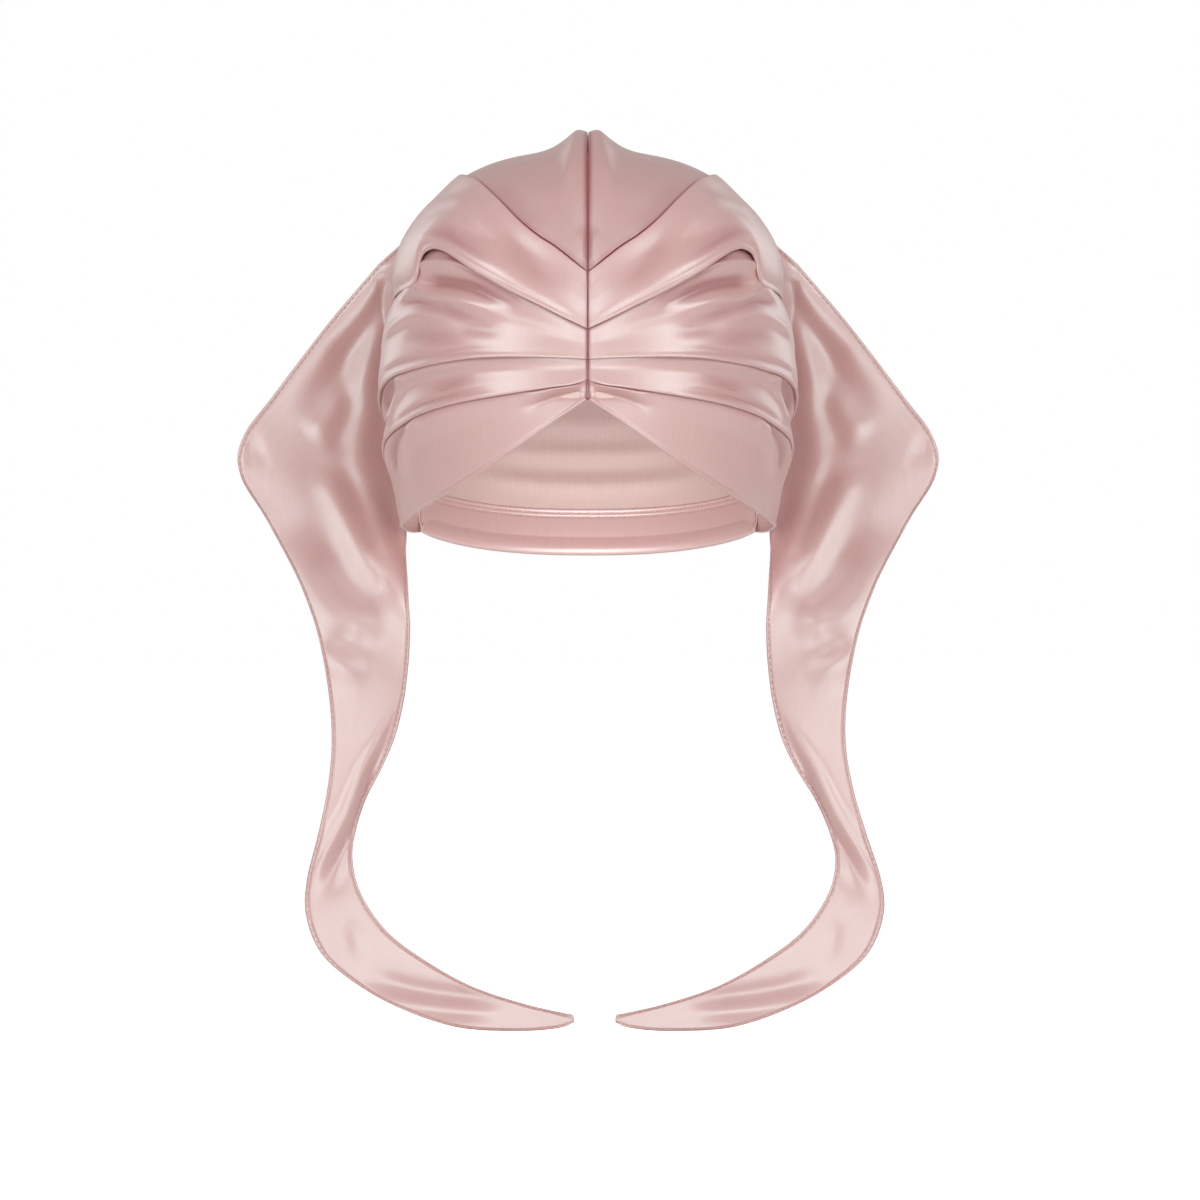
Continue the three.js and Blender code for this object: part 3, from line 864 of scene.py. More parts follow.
@dataclass(frozen=True)
class PleatedFront:
    """Both front halves: four lapped pleats, gathered at the centre seam. Sizes are in mm."""

    form: HeadForm
    pleats: tuple[Pleat, ...]
    columns: int = 150
    gap: float = 0.15
    wall: float = 0.4
    seam_radius: float = 0.7
    dip: float = 0.7
    dip_width: float = 6.0
    start_height: float = 0.4
    lip_roll: float = 1.4
    closer_at_lip: float = 1.45
    sink: float = 1.9
    gather: float = 0.5
    gather_pitch: float = 9.0

    def along(self) -> np.ndarray:
        """How far each column is from the centre seam, with room for the turned seams."""
        return np.concatenate([[0.0], np.linspace(0.014, 0.985, self.columns - 2), [1.0]])

    def frame_of(self, line: ClothLine, at: np.ndarray) -> tuple[np.ndarray, np.ndarray, np.ndarray]:
        """Finds how a line lies.

        Args:
            line: the line.
            at: how far along it.

        Returns:
            Its points on the form, the outward normals, and the way down across it.
        """
        points, normals, _ = self.form.lay(line.trace(self.form, at)[0])
        run = np.gradient(points, at, axis=0)
        return points, normals, unit(np.cross(normals, run))

    def lip_radius(self, height: np.ndarray) -> np.ndarray:
        """How round the folded edge of a lip is."""
        return np.clip(0.3 * (height - 0.8), 0.25, 0.85)

    def face(
        self, pleat: Pleat, start: np.ndarray, end: np.ndarray, first: np.ndarray
    ) -> tuple[np.ndarray, np.ndarray]:
        """Lays the visible part of a pleat, from just under the lip above it.

        Args:
            pleat: the pleat.
            start: the places it starts from, one for each column.
            end: the places of the top of its lip.
            first: how far before its start each column begins, as a share of its length.

        Returns:
            The grid of points, and the painted shade of each point, from 0 to 1.
        """
        at = self.along()
        steps = 1 - np.linspace(1.0, 0.0, pleat.rows) ** self.closer_at_lip
        if not pleat.starts_at_lip:
            steps = np.concatenate([[0.0], 0.035 + 0.965 * steps[:-1], [1.0]])
        lip = pleat.lower.trace(self.form, at)[1]
        upper_lip = pleat.upper.trace(self.form, at)[1]
        reach = np.linalg.norm(self.form.lay(end)[0] - self.form.lay(start)[0], axis=1)
        rim = pleat.rim * np.clip((lip - 0.6) / 3.0, pleat.least_rim, 1.0)
        puff = read_evenly(pleat.puff, at)[:, 0]
        puff_sag = math.log(0.5) / math.log(pleat.puff_peak)
        begin = upper_lip
        if pleat.starts_at_lip:
            fill = read_evenly(pleat.fill, at)[:, 0]
            begin = self.start_height + fill * np.maximum(upper_lip - self.lip_roll, 0.0)
        # Painted shade under the lip above: stronger the further the lip stands off this pleat, and spread
        # further down below a higher lip.
        under = np.clip((upper_lip - begin) / 2.6, 0.3, 1.0) if pleat.starts_at_lip else 0.45
        spread = 0.8 + 0.7 * (upper_lip - begin)
        rows, fold_shades = [], []
        for step in steps:
            s = (first + (1 - first) * step)[:, None]
            place = start + (end - start) * s
            seam = on_side_seam(pleat.upper.seam_at + (pleat.lower.seam_at - pleat.upper.seam_at) * s[:, 0])
            straight = start[-1] + (end[-1] - start[-1]) * s
            place = place + (seam - straight) * (at**4)[:, None]
            point, normal, _ = self.form.lay(place)
            shown = np.clip(s[:, 0], 0.0, 1.0)
            height = lip * ease(shown, pleat.lip_rise_from, 1.0)
            height = height + begin * (1 - ease(shown, 0.0, 0.35))
            height = height + puff * np.sin(math.pi * shown**puff_sag)
            height = height + rim * np.exp(-(((1 - s[:, 0]) * reach / pleat.rim_width) ** 2))
            soft = pleat.folds.over_form(self.form, point, normal)
            if pleat.starts_at_lip:
                soft = soft * ease(s[:, 0], -0.05, 0.08)
            soft = soft * np.minimum(1.0, 6.0 * (1.0 - shown))
            height = height + soft
            height = height - self.dip * np.exp(-((point[:, 0] / self.dip_width) ** 2))
            height = height - self.sink * ease(-s[:, 0] * reach, 1.6, 4.5)
            gathered = self.gather * ease(at, 0.86, 0.97) * np.sin(math.pi * shown) ** 0.5
            height = height + gathered * np.cos(2 * math.pi * s[:, 0] * reach[-1] / self.gather_pitch)
            rows.append(self.form.lift(place, height))
            # Painted shade: darker just under the lip above, in the valleys of the folds and beside the
            # centre seam.
            lip_shade = under * np.exp(-((np.maximum(s[:, 0] * reach, 0.0) / spread) ** 2))
            valley = 0.7 * np.clip(-soft / 2.0, 0.0, 1.0)
            seam_shade = 0.8 * np.exp(-((point[:, 0] / 1.0) ** 2))
            fold_shades.append(1 - (1 - lip_shade) * (1 - valley) * (1 - seam_shade))
        return np.array(rows), np.array(fold_shades)

    def grid(self) -> tuple[np.ndarray, np.ndarray]:
        """Lays the whole left half, pleat by pleat, with the cloth folded back under each lip.

        Returns:
            The grid of points, and the painted shade of each point, from 0 to 1.
        """
        at = self.along()
        layers, fold_shades = [], []
        turn_end = None
        for index, pleat in enumerate(self.pleats):
            is_last = index == len(self.pleats) - 1
            start, _ = pleat.upper.trace(self.form, at)
            _, lip = pleat.lower.trace(self.form, at)
            edge, edge_normal, down = self.frame_of(pleat.lower, at)
            radius = self.lip_radius(lip) if not is_last else np.full(len(at), 0.7)
            top = self.form.shares(edge - down * radius[:, None])
            first = np.zeros(len(at))
            if pleat.starts_at_lip:
                before, _, _ = self.form.lay(start)
                reach = np.linalg.norm(edge - before, axis=1)
                upper_height = self.pleats[index - 1].lower.trace(self.form, at)[1]
                first = -(2.6 + 1.3 * upper_height) / np.maximum(reach, 12.0)
            rows, fold_shade = self.face(pleat, start, top, first)
            if turn_end is not None:
                layers.append(self.folded_back(turn_end, rows))
                # painted shade: the cloth folded back under a lip is fully shaded
                fold_shades.append(np.ones(layers[-1].shape[:2]))
            layers.append(rows)
            fold_shades.append(fold_shade)
            roll = self.rolled(rows[-1], edge_normal, down, radius)
            layers.append(roll)
            # painted shade, growing round the roll towards the underside of the lip
            fold_shades.append(0.5 * np.linspace(0.0, 1.0, len(roll))[:, None] ** 2 * np.ones(len(at)))
            turn_end = roll[-1]
        layers.append(self.facing(turn_end, edge_normal, down))
        fold_shades.append(np.zeros(layers[-1].shape[:2]))
        grid = np.concatenate(layers)
        grid = turn_in(grid, Edge.FIRST_ROW, self.form, self.seam_radius, self.gap)
        grid = turn_in(grid, Edge.FIRST_COLUMN, self.form, self.seam_radius, self.gap)
        grid = turn_in(grid, Edge.LAST_COLUMN, self.form, self.seam_radius, self.gap, 0.3)
        # the turned-in seam allowances take full painted shade
        return grid, np.pad(np.concatenate(fold_shades), ((6, 0), (6, 6)), constant_values=1.0)

    def rolled(self, top: np.ndarray, normal: np.ndarray, down: np.ndarray, radius: np.ndarray) -> np.ndarray:
        """Rolls the cloth round the folded edge of a lip.

        Args:
            top: the points where the roll starts.
            normal: the way out at each column.
            down: the way down across the lip.
            radius: radius of the roll.

        Returns:
            The rows of the roll, after its first.
        """
        turn = np.radians(np.linspace(0, 180, 11))[1:, None, None]
        r = radius[None, :, None]
        return top[None] + down[None] * r * np.sin(turn) - normal[None] * r * (1 - np.cos(turn))

    def folded_back(self, lip_end: np.ndarray, next_face: np.ndarray) -> np.ndarray:
        """Takes the cloth from under a lip back up to where the next pleat starts.

        Args:
            lip_end: the end of the roll of the lip.
            next_face: the next pleat's face.

        Returns:
            The rows between them.
        """
        begin = next_face[0]
        normal = self.form.lay(self.form.shares(begin))[1]
        up = begin - next_face[1]
        up = unit(up - dot(up, normal) * normal)
        small = 0.3
        turn = np.radians([180, 135, 90, 45])[:, None, None]
        bend = begin[None] + normal[None] * small * (1 - np.cos(turn)) + up[None] * small * np.sin(turn)
        share = np.linspace(0.0, 1.0, 8)[1:-1, None, None]
        back = lip_end[None] * (1 - share) + bend[0][None] * share
        return np.concatenate([back, bend])

    def facing(self, edge: np.ndarray, normal: np.ndarray, down: np.ndarray) -> np.ndarray:
        """Turns the brow edge up inside the wrap.

        Args:
            edge: the end of the roll along the brow.
            normal: the way out at each column.
            down: the way down across the edge.

        Returns:
            The rows of the facing.
        """
        depth = np.linspace(0.0, 14.0, 8)[1:, None, None]
        return edge[None] - down[None] * depth - normal[None] * 0.24 * depth


# the crown and the back


@dataclass(frozen=True)
class Crown:
    """The two gores on top of the head. Sizes are in mm."""

    form: HeadForm
    folds: Folds
    columns: int = 76
    rows: int = 84
    gap: float = 0.15
    wall: float = 0.4
    dip: float = 2.0
    dip_width: float = 4.5
    slack: float = -0.5

    def grid(self) -> tuple[np.ndarray, np.ndarray]:
        """Lays the left gore, from the seam over the crown to the seam above the first pleat.

        Returns:
            The grid of points, and the painted shade of each point, from 0 to 1.
        """
        u = np.concatenate([[0.0], np.linspace(0.03, 1.0, self.columns - 1)])
        v = np.concatenate([[0.0], np.linspace(0.035, 0.965, self.rows - 2), [1.0]])
        top, foot = on_side_seam(np.array([0.0]))[0], np.array([0.0, -0.8, 0.72])
        on_seam = on_side_seam(GORE_SEAM.seam_at * u)
        on_gore, lip = GORE_SEAM.trace(self.form, u)
        length = np.linalg.norm(self.form.lay(on_gore)[0] - self.form.lay(on_seam)[0], axis=1)
        rows, fold_shades = [], []
        for step in v:
            place = on_seam + (on_gore - on_seam) * step
            pull = (0.1 * (1 - u) * math.sin(math.pi * step))[:, None]
            place = place + (top + (foot - top) * step - place) * pull
            point, normal, _ = self.form.lay(place)
            soft = self.folds.over_form(self.form, point, normal)
            height = self.slack + np.minimum(lip, 0.8) * step + soft
            height = height - self.dip * np.exp(-((point[:, 0] / self.dip_width) ** 2))
            rows.append(self.form.lift(place, height))
            # Painted shade beside the seam to the first pleat, along the centre seam and, faintly, in the
            # valleys of the folds.
            seam_shade = 0.6 * np.exp(-(((1 - step) * length / 1.0) ** 2))
            middle = 0.8 * np.exp(-((point[:, 0] / 1.0) ** 2))
            fold_shades.append(1 - (1 - seam_shade) * (1 - middle) * (1 - 0.25 * np.clip(-soft / 2.2, 0.0, 1.0)))
        grid = np.array(rows)
        grid = turn_in(grid, Edge.FIRST_ROW, self.form, 0.7, self.gap)
        grid = turn_in(grid, Edge.LAST_ROW, self.form, 0.7, self.gap)
        grid = turn_in(grid, Edge.FIRST_COLUMN, self.form, 1.1, self.gap)
        # the turned-in seam allowances take full painted shade
        return grid, np.pad(np.array(fold_shades), ((6, 6), (6, 0)), constant_values=1.0)


@dataclass(frozen=True)
class Back:
    """The back panel and the hem turned up inside its nape edge. Sizes are in mm."""

    form: HeadForm
    slack: tuple[tuple[float, float, float, float, float], ...]
    columns: int = 150
    rows: int = 120
    crown: float = 0.3
    nape_drop: float = 10.1
    gap: float = 0.15
    wall: float = 0.4
    roll: float = 1.3
    seam_roll: float = 0.7
    hem_depth: float = 22.5
    hem_rows: int = 46
    hem_puff: float = 0.8
    stitch_rows: tuple[float, float] = (18.9, 20.9)
    stitch_pitch: float = 2.4

    def nape(self, at: np.ndarray) -> np.ndarray:
        """Follows the lower edge of the back.

        Args:
            at: how far along it, from the left side seam to the right one.

        Returns:
            The places on the form.
        """
        power = self.form.plan_power
        corner = self.form.lay(on_side_seam(np.array([1.0])))[2][0]
        begin = math.atan2(signed_power(corner[1], power / 2), signed_power(corner[0], power / 2))
        angle = begin + (math.pi - 2 * begin) * at
        behind = (np.sin(angle) - math.sin(begin)) / (1 - math.sin(begin))
        drop = (self.nape_drop / self.form.lower_drop) * behind - corner[2]
        draw = (1 - drop**power) ** (1 / power)
        x = draw * signed_power(np.cos(angle), 2 / power)
        y = draw * signed_power(np.sin(angle), 2 / power)
        return np.stack([x, y, -drop], axis=-1)

    def slack_height(self, place: np.ndarray, points: np.ndarray) -> np.ndarray:
        """Sags the slack cloth above the nape into level folds.

        Args:
            place: shares of the form.
            points: points on the form, in mm.

        Returns:
            How far each point is raised, negative towards the head.
        """
        height = np.zeros(points.shape[:-1])
        behind = ease(place[..., 1], 0.35, 0.75)
        for level, rise, reach, width, depth in self.slack:
            middle = level + rise * (points[..., 0] / 50.0) ** 2
            across = np.exp(-((points[..., 0] / reach) ** 4))
            height -= depth * across * np.exp(-(((points[..., 2] - middle) / width) ** 2))
        return height * behind

    def panel(self) -> np.ndarray:
        """Lays the back between the seam over the crown, the side seams and the nape."""
        u = np.concatenate([[0.0], np.linspace(0.012, 0.988, self.columns - 2), [1.0]])
        v = np.concatenate([[0.0], np.linspace(0.014, 1.0, self.rows - 1)])
        flip = np.array([-1.0, 1.0, 1.0])
        over = on_side_seam(self.crown * np.abs(1 - 2 * u)) * np.where((u > 0.5)[:, None], flip, 1.0)
        low = self.nape(u)
        rows = []
        for step in v:
            left = on_side_seam(np.array([self.crown + (1 - self.crown) * step]))[0]
            sides = left + (left * flip - left) * u[:, None]
            ends = over + (low - over) * step
            corner = over[0] + (over[-1] - over[0]) * u[:, None]
            corner = corner + (low[0] + (low[-1] - low[0]) * u[:, None] - corner) * step
            place = sides + ends - corner
            point, _, share = self.form.lay(place)
            rows.append(self.form.lift(place, self.slack_height(share, point)))
        grid = np.array(rows)
        grid = np.concatenate([grid, self.nape_roll(grid[-1], u)])
        grid = turn_in(grid, Edge.FIRST_ROW, self.form, 0.7, self.gap)
        grid = turn_in(grid, Edge.FIRST_COLUMN, self.form, 0.6, self.gap, 0.5)
        return turn_in(grid, Edge.LAST_COLUMN, self.form, 0.6, self.gap, 0.5)

    def roll_radius(self, at: np.ndarray) -> np.ndarray:
        """How round the nape edge is, slimmer where it runs into the side seams."""
        return self.seam_roll + (self.roll - self.seam_roll) * self.free(at)

    def free(self, at: np.ndarray) -> np.ndarray:
        """How free of the side seams the hem is, from 0 to 1."""
        return ease(at, 0.0, 0.08) * (1 - ease(at, 0.92, 1.0))

    def nape_roll(self, edge: np.ndarray, at: np.ndarray) -> np.ndarray:
        """Rolls the nape edge over to the inside.

        Args:
            edge: the last row of the panel.
            at: how far along the nape its columns are.

        Returns:
            The rows of the roll and the start of the hem behind it.
        """
        normal = self.form.lay(self.form.shares(edge))[1]
        down = unit(np.cross(normal, np.gradient(edge, axis=0)))
        down = down * np.where(down[:, 2:3] > 0, -1.0, 1.0)
        turn = np.radians(np.linspace(0, 180, 13))[1:, None, None]
        radius = self.roll_radius(at)[None, :, None]
        rolled = edge[None] + down[None] * radius * np.sin(turn)
        rolled = rolled - normal[None] * radius * (1 - np.cos(turn))
        depth = np.array([1.5, 3.0])[:, None, None]
        return np.concatenate([rolled, rolled[-1][None] - down[None] * depth])

    def hem_point(self, at: np.ndarray, up: np.ndarray, inset: np.ndarray) -> np.ndarray:
        """Finds points of the hem.

        Args:
            at: how far along the nape.
            up: how far above the nape edge, in mm.
            inset: how far inside the form, in mm.

        Returns:
            The points.
        """
        place = self.nape(at)
        place[..., 2] += up / self.form.lower_drop
        return self.form.lift(place, -inset)

    def hem_inset(self, at: np.ndarray, up: np.ndarray) -> np.ndarray:
        """Works out how far inside the form the puffed hem lies.

        Args:
            at: how far along the nape.
            up: how far above the nape edge, in mm.

        Returns:
            The inset, in mm.
        """
        puff = self.hem_puff * np.sin(math.pi * np.clip(up / self.stitch_rows[0], 0, 1) ** 0.8)
        pinch = sum(0.25 * np.exp(-(((up - row) / 0.5) ** 2)) for row in self.stitch_rows)
        over_roll = (2 * self.roll_radius(at) + self.wall + 0.1) * (1 - ease(up, 0.0, 14.0))
        over_seams = 1.15 + (1 - self.free(at)) * 0.09 * up
        return np.maximum(over_roll, over_seams) + self.free(at) * puff - pinch

    def hem(self) -> np.ndarray:
        """Lays the turned hem, from under the nape roll up to its edge above the stitches."""
        at = np.linspace(-0.008, 1.008, self.columns)
        around = self.roll_radius(at) + self.wall + 0.1
        rows = []
        for turn in np.radians(np.linspace(20, 80, 6)):
            up = -around * math.cos(turn)
            rows.append(self.hem_point(at, up, self.hem_inset(at, up) - around * (1 - math.sin(turn))))
        profile = [(step, 0.0) for step in np.linspace(0.0, self.hem_depth, self.hem_rows)]
        profile += [(self.hem_depth + 0.35, 0.35), (self.hem_depth + 0.35, 0.7)]
        for up, drop in profile:
            inset = self.hem_inset(at, np.full(len(at), up))
            rows.append(self.hem_point(at, np.full(len(at), up), inset - drop))
        return np.array(rows)

    def stitches(self) -> bpy.types.Object:
        """Sews the two needle rows of the coverstitch as short slanted stitches."""
        shape = bmesh.new()
        middle = self.hem_point(np.linspace(0.03, 0.97, 400), np.full(400, 20.0), np.full(400, 2.0))
        length = np.linalg.norm(np.diff(middle, axis=0), axis=1).sum()
        count = int(length / self.stitch_pitch)
        at = np.linspace(0.03, 0.97, count)
        for row in self.stitch_rows:
            up = np.full(count, row)
            inset = self.hem_inset(at, up) + 0.12
            here = self.hem_point(at, up, inset)
            ahead = self.hem_point(at + 0.001, up + 0.04, inset)
            normal = self.form.lay(self.form.shares(here))[1]
            add_stitches(shape, here, ahead - here, normal, self.stitch_pitch * 0.8, 0.42)
        return finish_mesh("nape_coverstitch", shape)


def add_stitches(
    shape: bmesh.types.BMesh,
    points: np.ndarray,
    runs: np.ndarray,
    normals: np.ndarray,
    length: float,
    thread: float,
) -> None:
    """Adds a row of stitches, each a short bead of thread.

    Args:
        shape: the bmesh to add them to.
        points: the middle of each stitch, in mm.
        runs: the way each stitch runs.
        normals: the way out of the cloth.
        length: length of a stitch, in mm.
        thread: thickness of the thread, in mm.
    """
    along = unit(runs)
    out = unit(normals - dot(normals, along) * along)
    side = np.cross(out, along)
    size = Matrix.Diagonal((length / 2 * MM, thread / 2 * MM, thread / 2 * MM, 1.0))
    for point, a, b, c in zip(points, along, side, out):
        turn = Matrix((a, b, c)).transposed().to_4x4()
        place = Matrix.Translation(Vector(point * MM)) @ turn @ size
        bmesh.ops.create_icosphere(shape, subdivisions=1, radius=1.0, matrix=place)


# the ties


@dataclass(frozen=True)
class Tie:
    """A long tapered tie, sewn double and topstitched, that hangs from a side seam. Sizes in mm.

    stations holds rows of the outer edge's and the inner edge's place, as shares of the reach and
    the drop, and how far back the tie hangs there, as a share of the depth.
    """

    form: HeadForm
    stations: tuple[tuple[float, float, float, float, float], ...]
    folds: Folds
    reach: float = 158.5
    drop: float = 227.0
    depth: float = 42.0
    root: tuple[float, float] = (0.345, 0.985)
    columns: int = 76
    rows: int = 300
    wall: float = 1.1
    tip_from: float = 0.984
    stitch_inset: float = 1.7
    stitch_pitch: float = 2.9

    def spine(self, at: np.ndarray, across: np.ndarray) -> np.ndarray:
        """Lays the tie without its folds.

        Args:
            at: how far down the tie, 0 at its root.
            across: how far across it, 0 at the outer edge.

        Returns:
            The points, in mm.
        """
        seam = on_side_seam(self.root[0] + (self.root[1] - self.root[0]) * across)
        seam[:, 1] += 1.1 / self.form.back_depth
        root = self.form.lift(seam, np.full(len(across), 0.9))
        count = len(self.stations)
        place = at * count
        lower = np.clip((place - 1) / (count - 1), 0.0, 1.0)
        outer_x, outer_z, inner_x, inner_z, depth = read_evenly(self.stations, lower).T
        hanging = np.stack(
            [
                (outer_x + (inner_x - outer_x) * across) * self.reach,
                depth * self.depth,
                (outer_z + (inner_z - outer_z) * across) * self.drop,
            ],
            axis=-1,
        )
        share = np.clip(place, 0.0, 1.0)[:, None]
        return root * (1 - share) + hanging * share

    def grid(self) -> tuple[np.ndarray, np.ndarray]:
        """Lays the left tie with its folds, which bring it forward or let it back.

        Returns:
            The grid of points, and the painted shade of each point, from 0 to 1.
        """
        at, across = np.linspace(0.0, 1.0, self.rows), self.across()
        rows, fold_shades = [], []
        for step in at:
            tip = np.clip((step - self.tip_from) / (1 - self.tip_from), 0.0, 1.0)
            narrowed = 0.5 + (across - 0.5) * math.sqrt(1 - 0.93 * tip**2)
            point = self.spine(np.full(len(across), step), narrowed)
            free = float(ease(np.array(step), 0.0, 0.06))
            soft = free * self.folds.over_flat(-point[:, 0], point[:, 2])
            point[:, 1] -= soft
            rounded, stitched = self.edge_drop(point)
            point[:, 1] += rounded + 0.3 * stitched
            rows.append(point)
            # Painted shade in the valleys of the folds and along the topstitch lines.
            fold_shades.append(1 - (1 - 0.25 * np.clip(-soft / 2.4, 0.0, 1.0)) * (1 - 0.2 * stitched))
        return np.array(rows), np.array(fold_shades)

    def edge_drop(self, row: np.ndarray) -> tuple[np.ndarray, np.ndarray]:
        """Rounds the turned edges back and finds the stitch lines.

        Args:
            row: the points across the tie.

        Returns:
            How far each point goes back at the edges, in mm, and how near it is to a stitch line.
        """
        steps = np.concatenate([[0.0], np.cumsum(np.linalg.norm(np.diff(row, axis=0), axis=1))])
        inside = np.minimum(steps, steps[-1] - steps)
        rounded = 0.6 * np.clip(1 - inside / 0.9, 0.0, 1.0) ** 2
        return rounded, np.exp(-(((inside - self.stitch_inset) / 0.55) ** 2))

    def across(self) -> np.ndarray:
        """Where the columns are across the tie, closer together at its edges."""
        even = np.linspace(0.0, 1.0, self.columns)
        return even - 0.115 * np.sin(2 * math.pi * even)

    def swayed(self, grid: np.ndarray, sway: float) -> np.ndarray:
        """Swings the lower end of a tie out.

        Args:
            grid: the tie.
            sway: how far its tip swings, in mm, negative to the left.

        Returns:
            The swung tie.
        """
        at = np.linspace(0.0, 1.0, len(grid))
        swung = grid.copy()
        swung[..., 0] += sway * ease(at, 0.45, 0.7)[:, None]
        return swung

    def topstitch(self, name: str, grid: np.ndarray) -> bpy.types.Object:
        """Sews a row of stitches just inside both long edges.

        Args:
            name: name of the piece.
            grid: the tie.

        Returns:
            The stitches.
        """
        shape = bmesh.new()
        for border, inner in ((grid[:, 0], grid[:, 8]), (grid[:, -1], grid[:, -9])):
            inwards = unit(inner - border)
            line = border + inwards * self.stitch_inset
            steps = np.linalg.norm(np.diff(line, axis=0), axis=1)
            length = np.concatenate([[0.0], np.cumsum(steps)])
            places = np.arange(10.0, length[-1] - 3.0, self.stitch_pitch)
            points = np.stack([np.interp(places, length, line[:, k]) for k in range(3)], axis=-1)
            ahead = np.stack([np.interp(places + 0.5, length, line[:, k]) for k in range(3)], axis=-1)
            cross = np.stack([np.interp(places, length, inwards[:, k]) for k in range(3)], axis=-1)
            normal = unit(np.cross(ahead - points, cross))
            normal = normal * np.where(normal[:, 1:2] > 0, -1.0, 1.0)
            add_stitches(shape, points + normal * 0.3, ahead - points, normal, self.stitch_pitch * 0.72, 0.36)
        return finish_mesh(name, shape)


# the studio


@dataclass(frozen=True)
class Studio:
    """A pale floor, soft lights and a level camera in front. Sizes are in metres."""

    picture: float = 0.54
    look_at: tuple[float, float] = (0.0054, -0.03375)
    distance: float = 5.0
    floor_level: float = -0.24
    side_white: float = 0.4
    top_white: float = 0.5

    def camera(self) -> None:
        """Sets up a level camera with a long lens, square on to the brow."""
        data = bpy.data.cameras.new("camera")
        data.sensor_width = 36.0
        data.lens = 36.0 * self.distance / self.picture
        data.clip_end = 100.0
        camera = bpy.data.objects.new("camera", data)
        camera.location = (self.look_at[0], -self.distance, self.look_at[1])
        camera.rotation_euler = (math.pi / 2, 0.0, 0.0)
        bpy.context.scene.collection.objects.link(camera)
        bpy.context.scene.camera = camera

    def light(
        self,
        name: str,
        place: tuple,
        size: tuple[float, float],
        power: float,
        aim: tuple = (0.0, 0.0, 0.0),
        spread: float = 180.0,
    ) -> None:
        """Adds a softbox.

        Args:
            name: name of the light.
            place: where it stands.
            size: its width and height.
            power: its power in watts.
            aim: the point that it faces.
            spread: how wide it shines, in degrees.
        """
        data = bpy.data.lights.new(name, "AREA")
        data.shape = "RECTANGLE"
        data.size, data.size_y = size
        data.energy = power
        data.spread = math.radians(spread)
        light = bpy.data.objects.new(name, data)
        light.location = place
        way = Vector(aim) - Vector(place)
        light.rotation_euler = way.to_track_quat("-Z", "Y").to_euler()
        light.visible_camera = False
        bpy.context.scene.collection.objects.link(light)

    def floor(self) -> None:
        """Lays a round sheet of opal acrylic that glows a little, so that it stays pale."""
        shape = bmesh.new()
        bmesh.ops.create_circle(shape, cap_ends=True, segments=96, radius=30.0)
        bmesh.ops.translate(shape, vec=(0.0, 0.0, self.floor_level), verts=shape.verts)
        floor = finish_mesh("floor", shape)
        material = bpy.data.materials.new("opal acrylic")
        material.use_nodes = True
        tree = material.node_tree
        tree.nodes.clear()
        ray = add_node(tree, "ShaderNodeLightPath").outputs["Is Camera Ray"]
        glow = add_node(
            tree, "ShaderNodeMath", {0: ray, 1: 0.72}, operation="MULTIPLY"
        ).outputs["Value"]
        shader = add_node(
            tree,
            "ShaderNodeBsdfPrincipled",
            {
                "Base Color": linear("#f4f3f1"),
                "Roughness": 0.7,
                "Emission Color": linear("#ffffff"),
                "Emission Strength": glow,
            },
        )
        add_node(tree, "ShaderNodeOutputMaterial", {"Surface": shader.outputs["BSDF"]})
        floor.data.materials.append(material)

    def world(self) -> None:
        """Surrounds the scene with white, which lights the wrap more gently than it shows."""
        world = bpy.data.worlds.new("white studio")
        bpy.context.scene.world = world
        world.use_nodes = True
        tree = world.node_tree
        tree.nodes.clear()
        seen = add_node(tree, "ShaderNodeBackground", {"Color": linear("#ffffff"), "Strength": 1.0})
        way = add_node(tree, "ShaderNodeNewGeometry").outputs["Position"]
        level = add_node(tree, "ShaderNodeSeparateXYZ", {"Vector": way}).outputs["Z"]
        strength = add_node(
            tree,
            "ShaderNodeMapRange",
            {
                "Value": level,
                "From Min": 0.05,
                "From Max": 0.9,
                "To Min": self.side_white,
                "To Max": self.top_white,
            },
        ).outputs["Result"]
        lit = add_node(tree, "ShaderNodeBackground", {"Color": linear("#fdfaf8"), "Strength": strength})
        ray = add_node(tree, "ShaderNodeLightPath").outputs["Is Camera Ray"]
        both = add_node(tree, "ShaderNodeMixShader", {0: ray, 1: lit.outputs[0], 2: seen.outputs[0]})
        add_node(tree, "ShaderNodeOutputWorld", {"Surface": both.outputs[0]})

    def build(self) -> None:
        """Builds the whole studio."""
        scene = bpy.context.scene
        scene.view_settings.view_transform = "Standard"
        self.camera()
        self.floor()
        self.world()
        self.light("front softbox", (0.0, -2.6, 0.3), (1.4, 1.2), 18.0)
        self.light("left softbox", (-1.5, -1.8, 1.3), (1.3, 1.3), 19.0)
        self.light("right softbox", (1.5, -1.8, 1.3), (1.3, 1.3), 19.0)
        self.light("back left softbox", (-1.7, 2.0, 0.9), (1.5, 1.5), 9.0)
        self.light("back right softbox", (1.7, 2.0, 0.9), (1.5, 1.5), 9.0)
        self.light("inside panel", (0.0, -0.03, 0.005), (0.12, 0.05), 0.036, (0.0, 0.1, 0.0), 110.0)


# measured folds

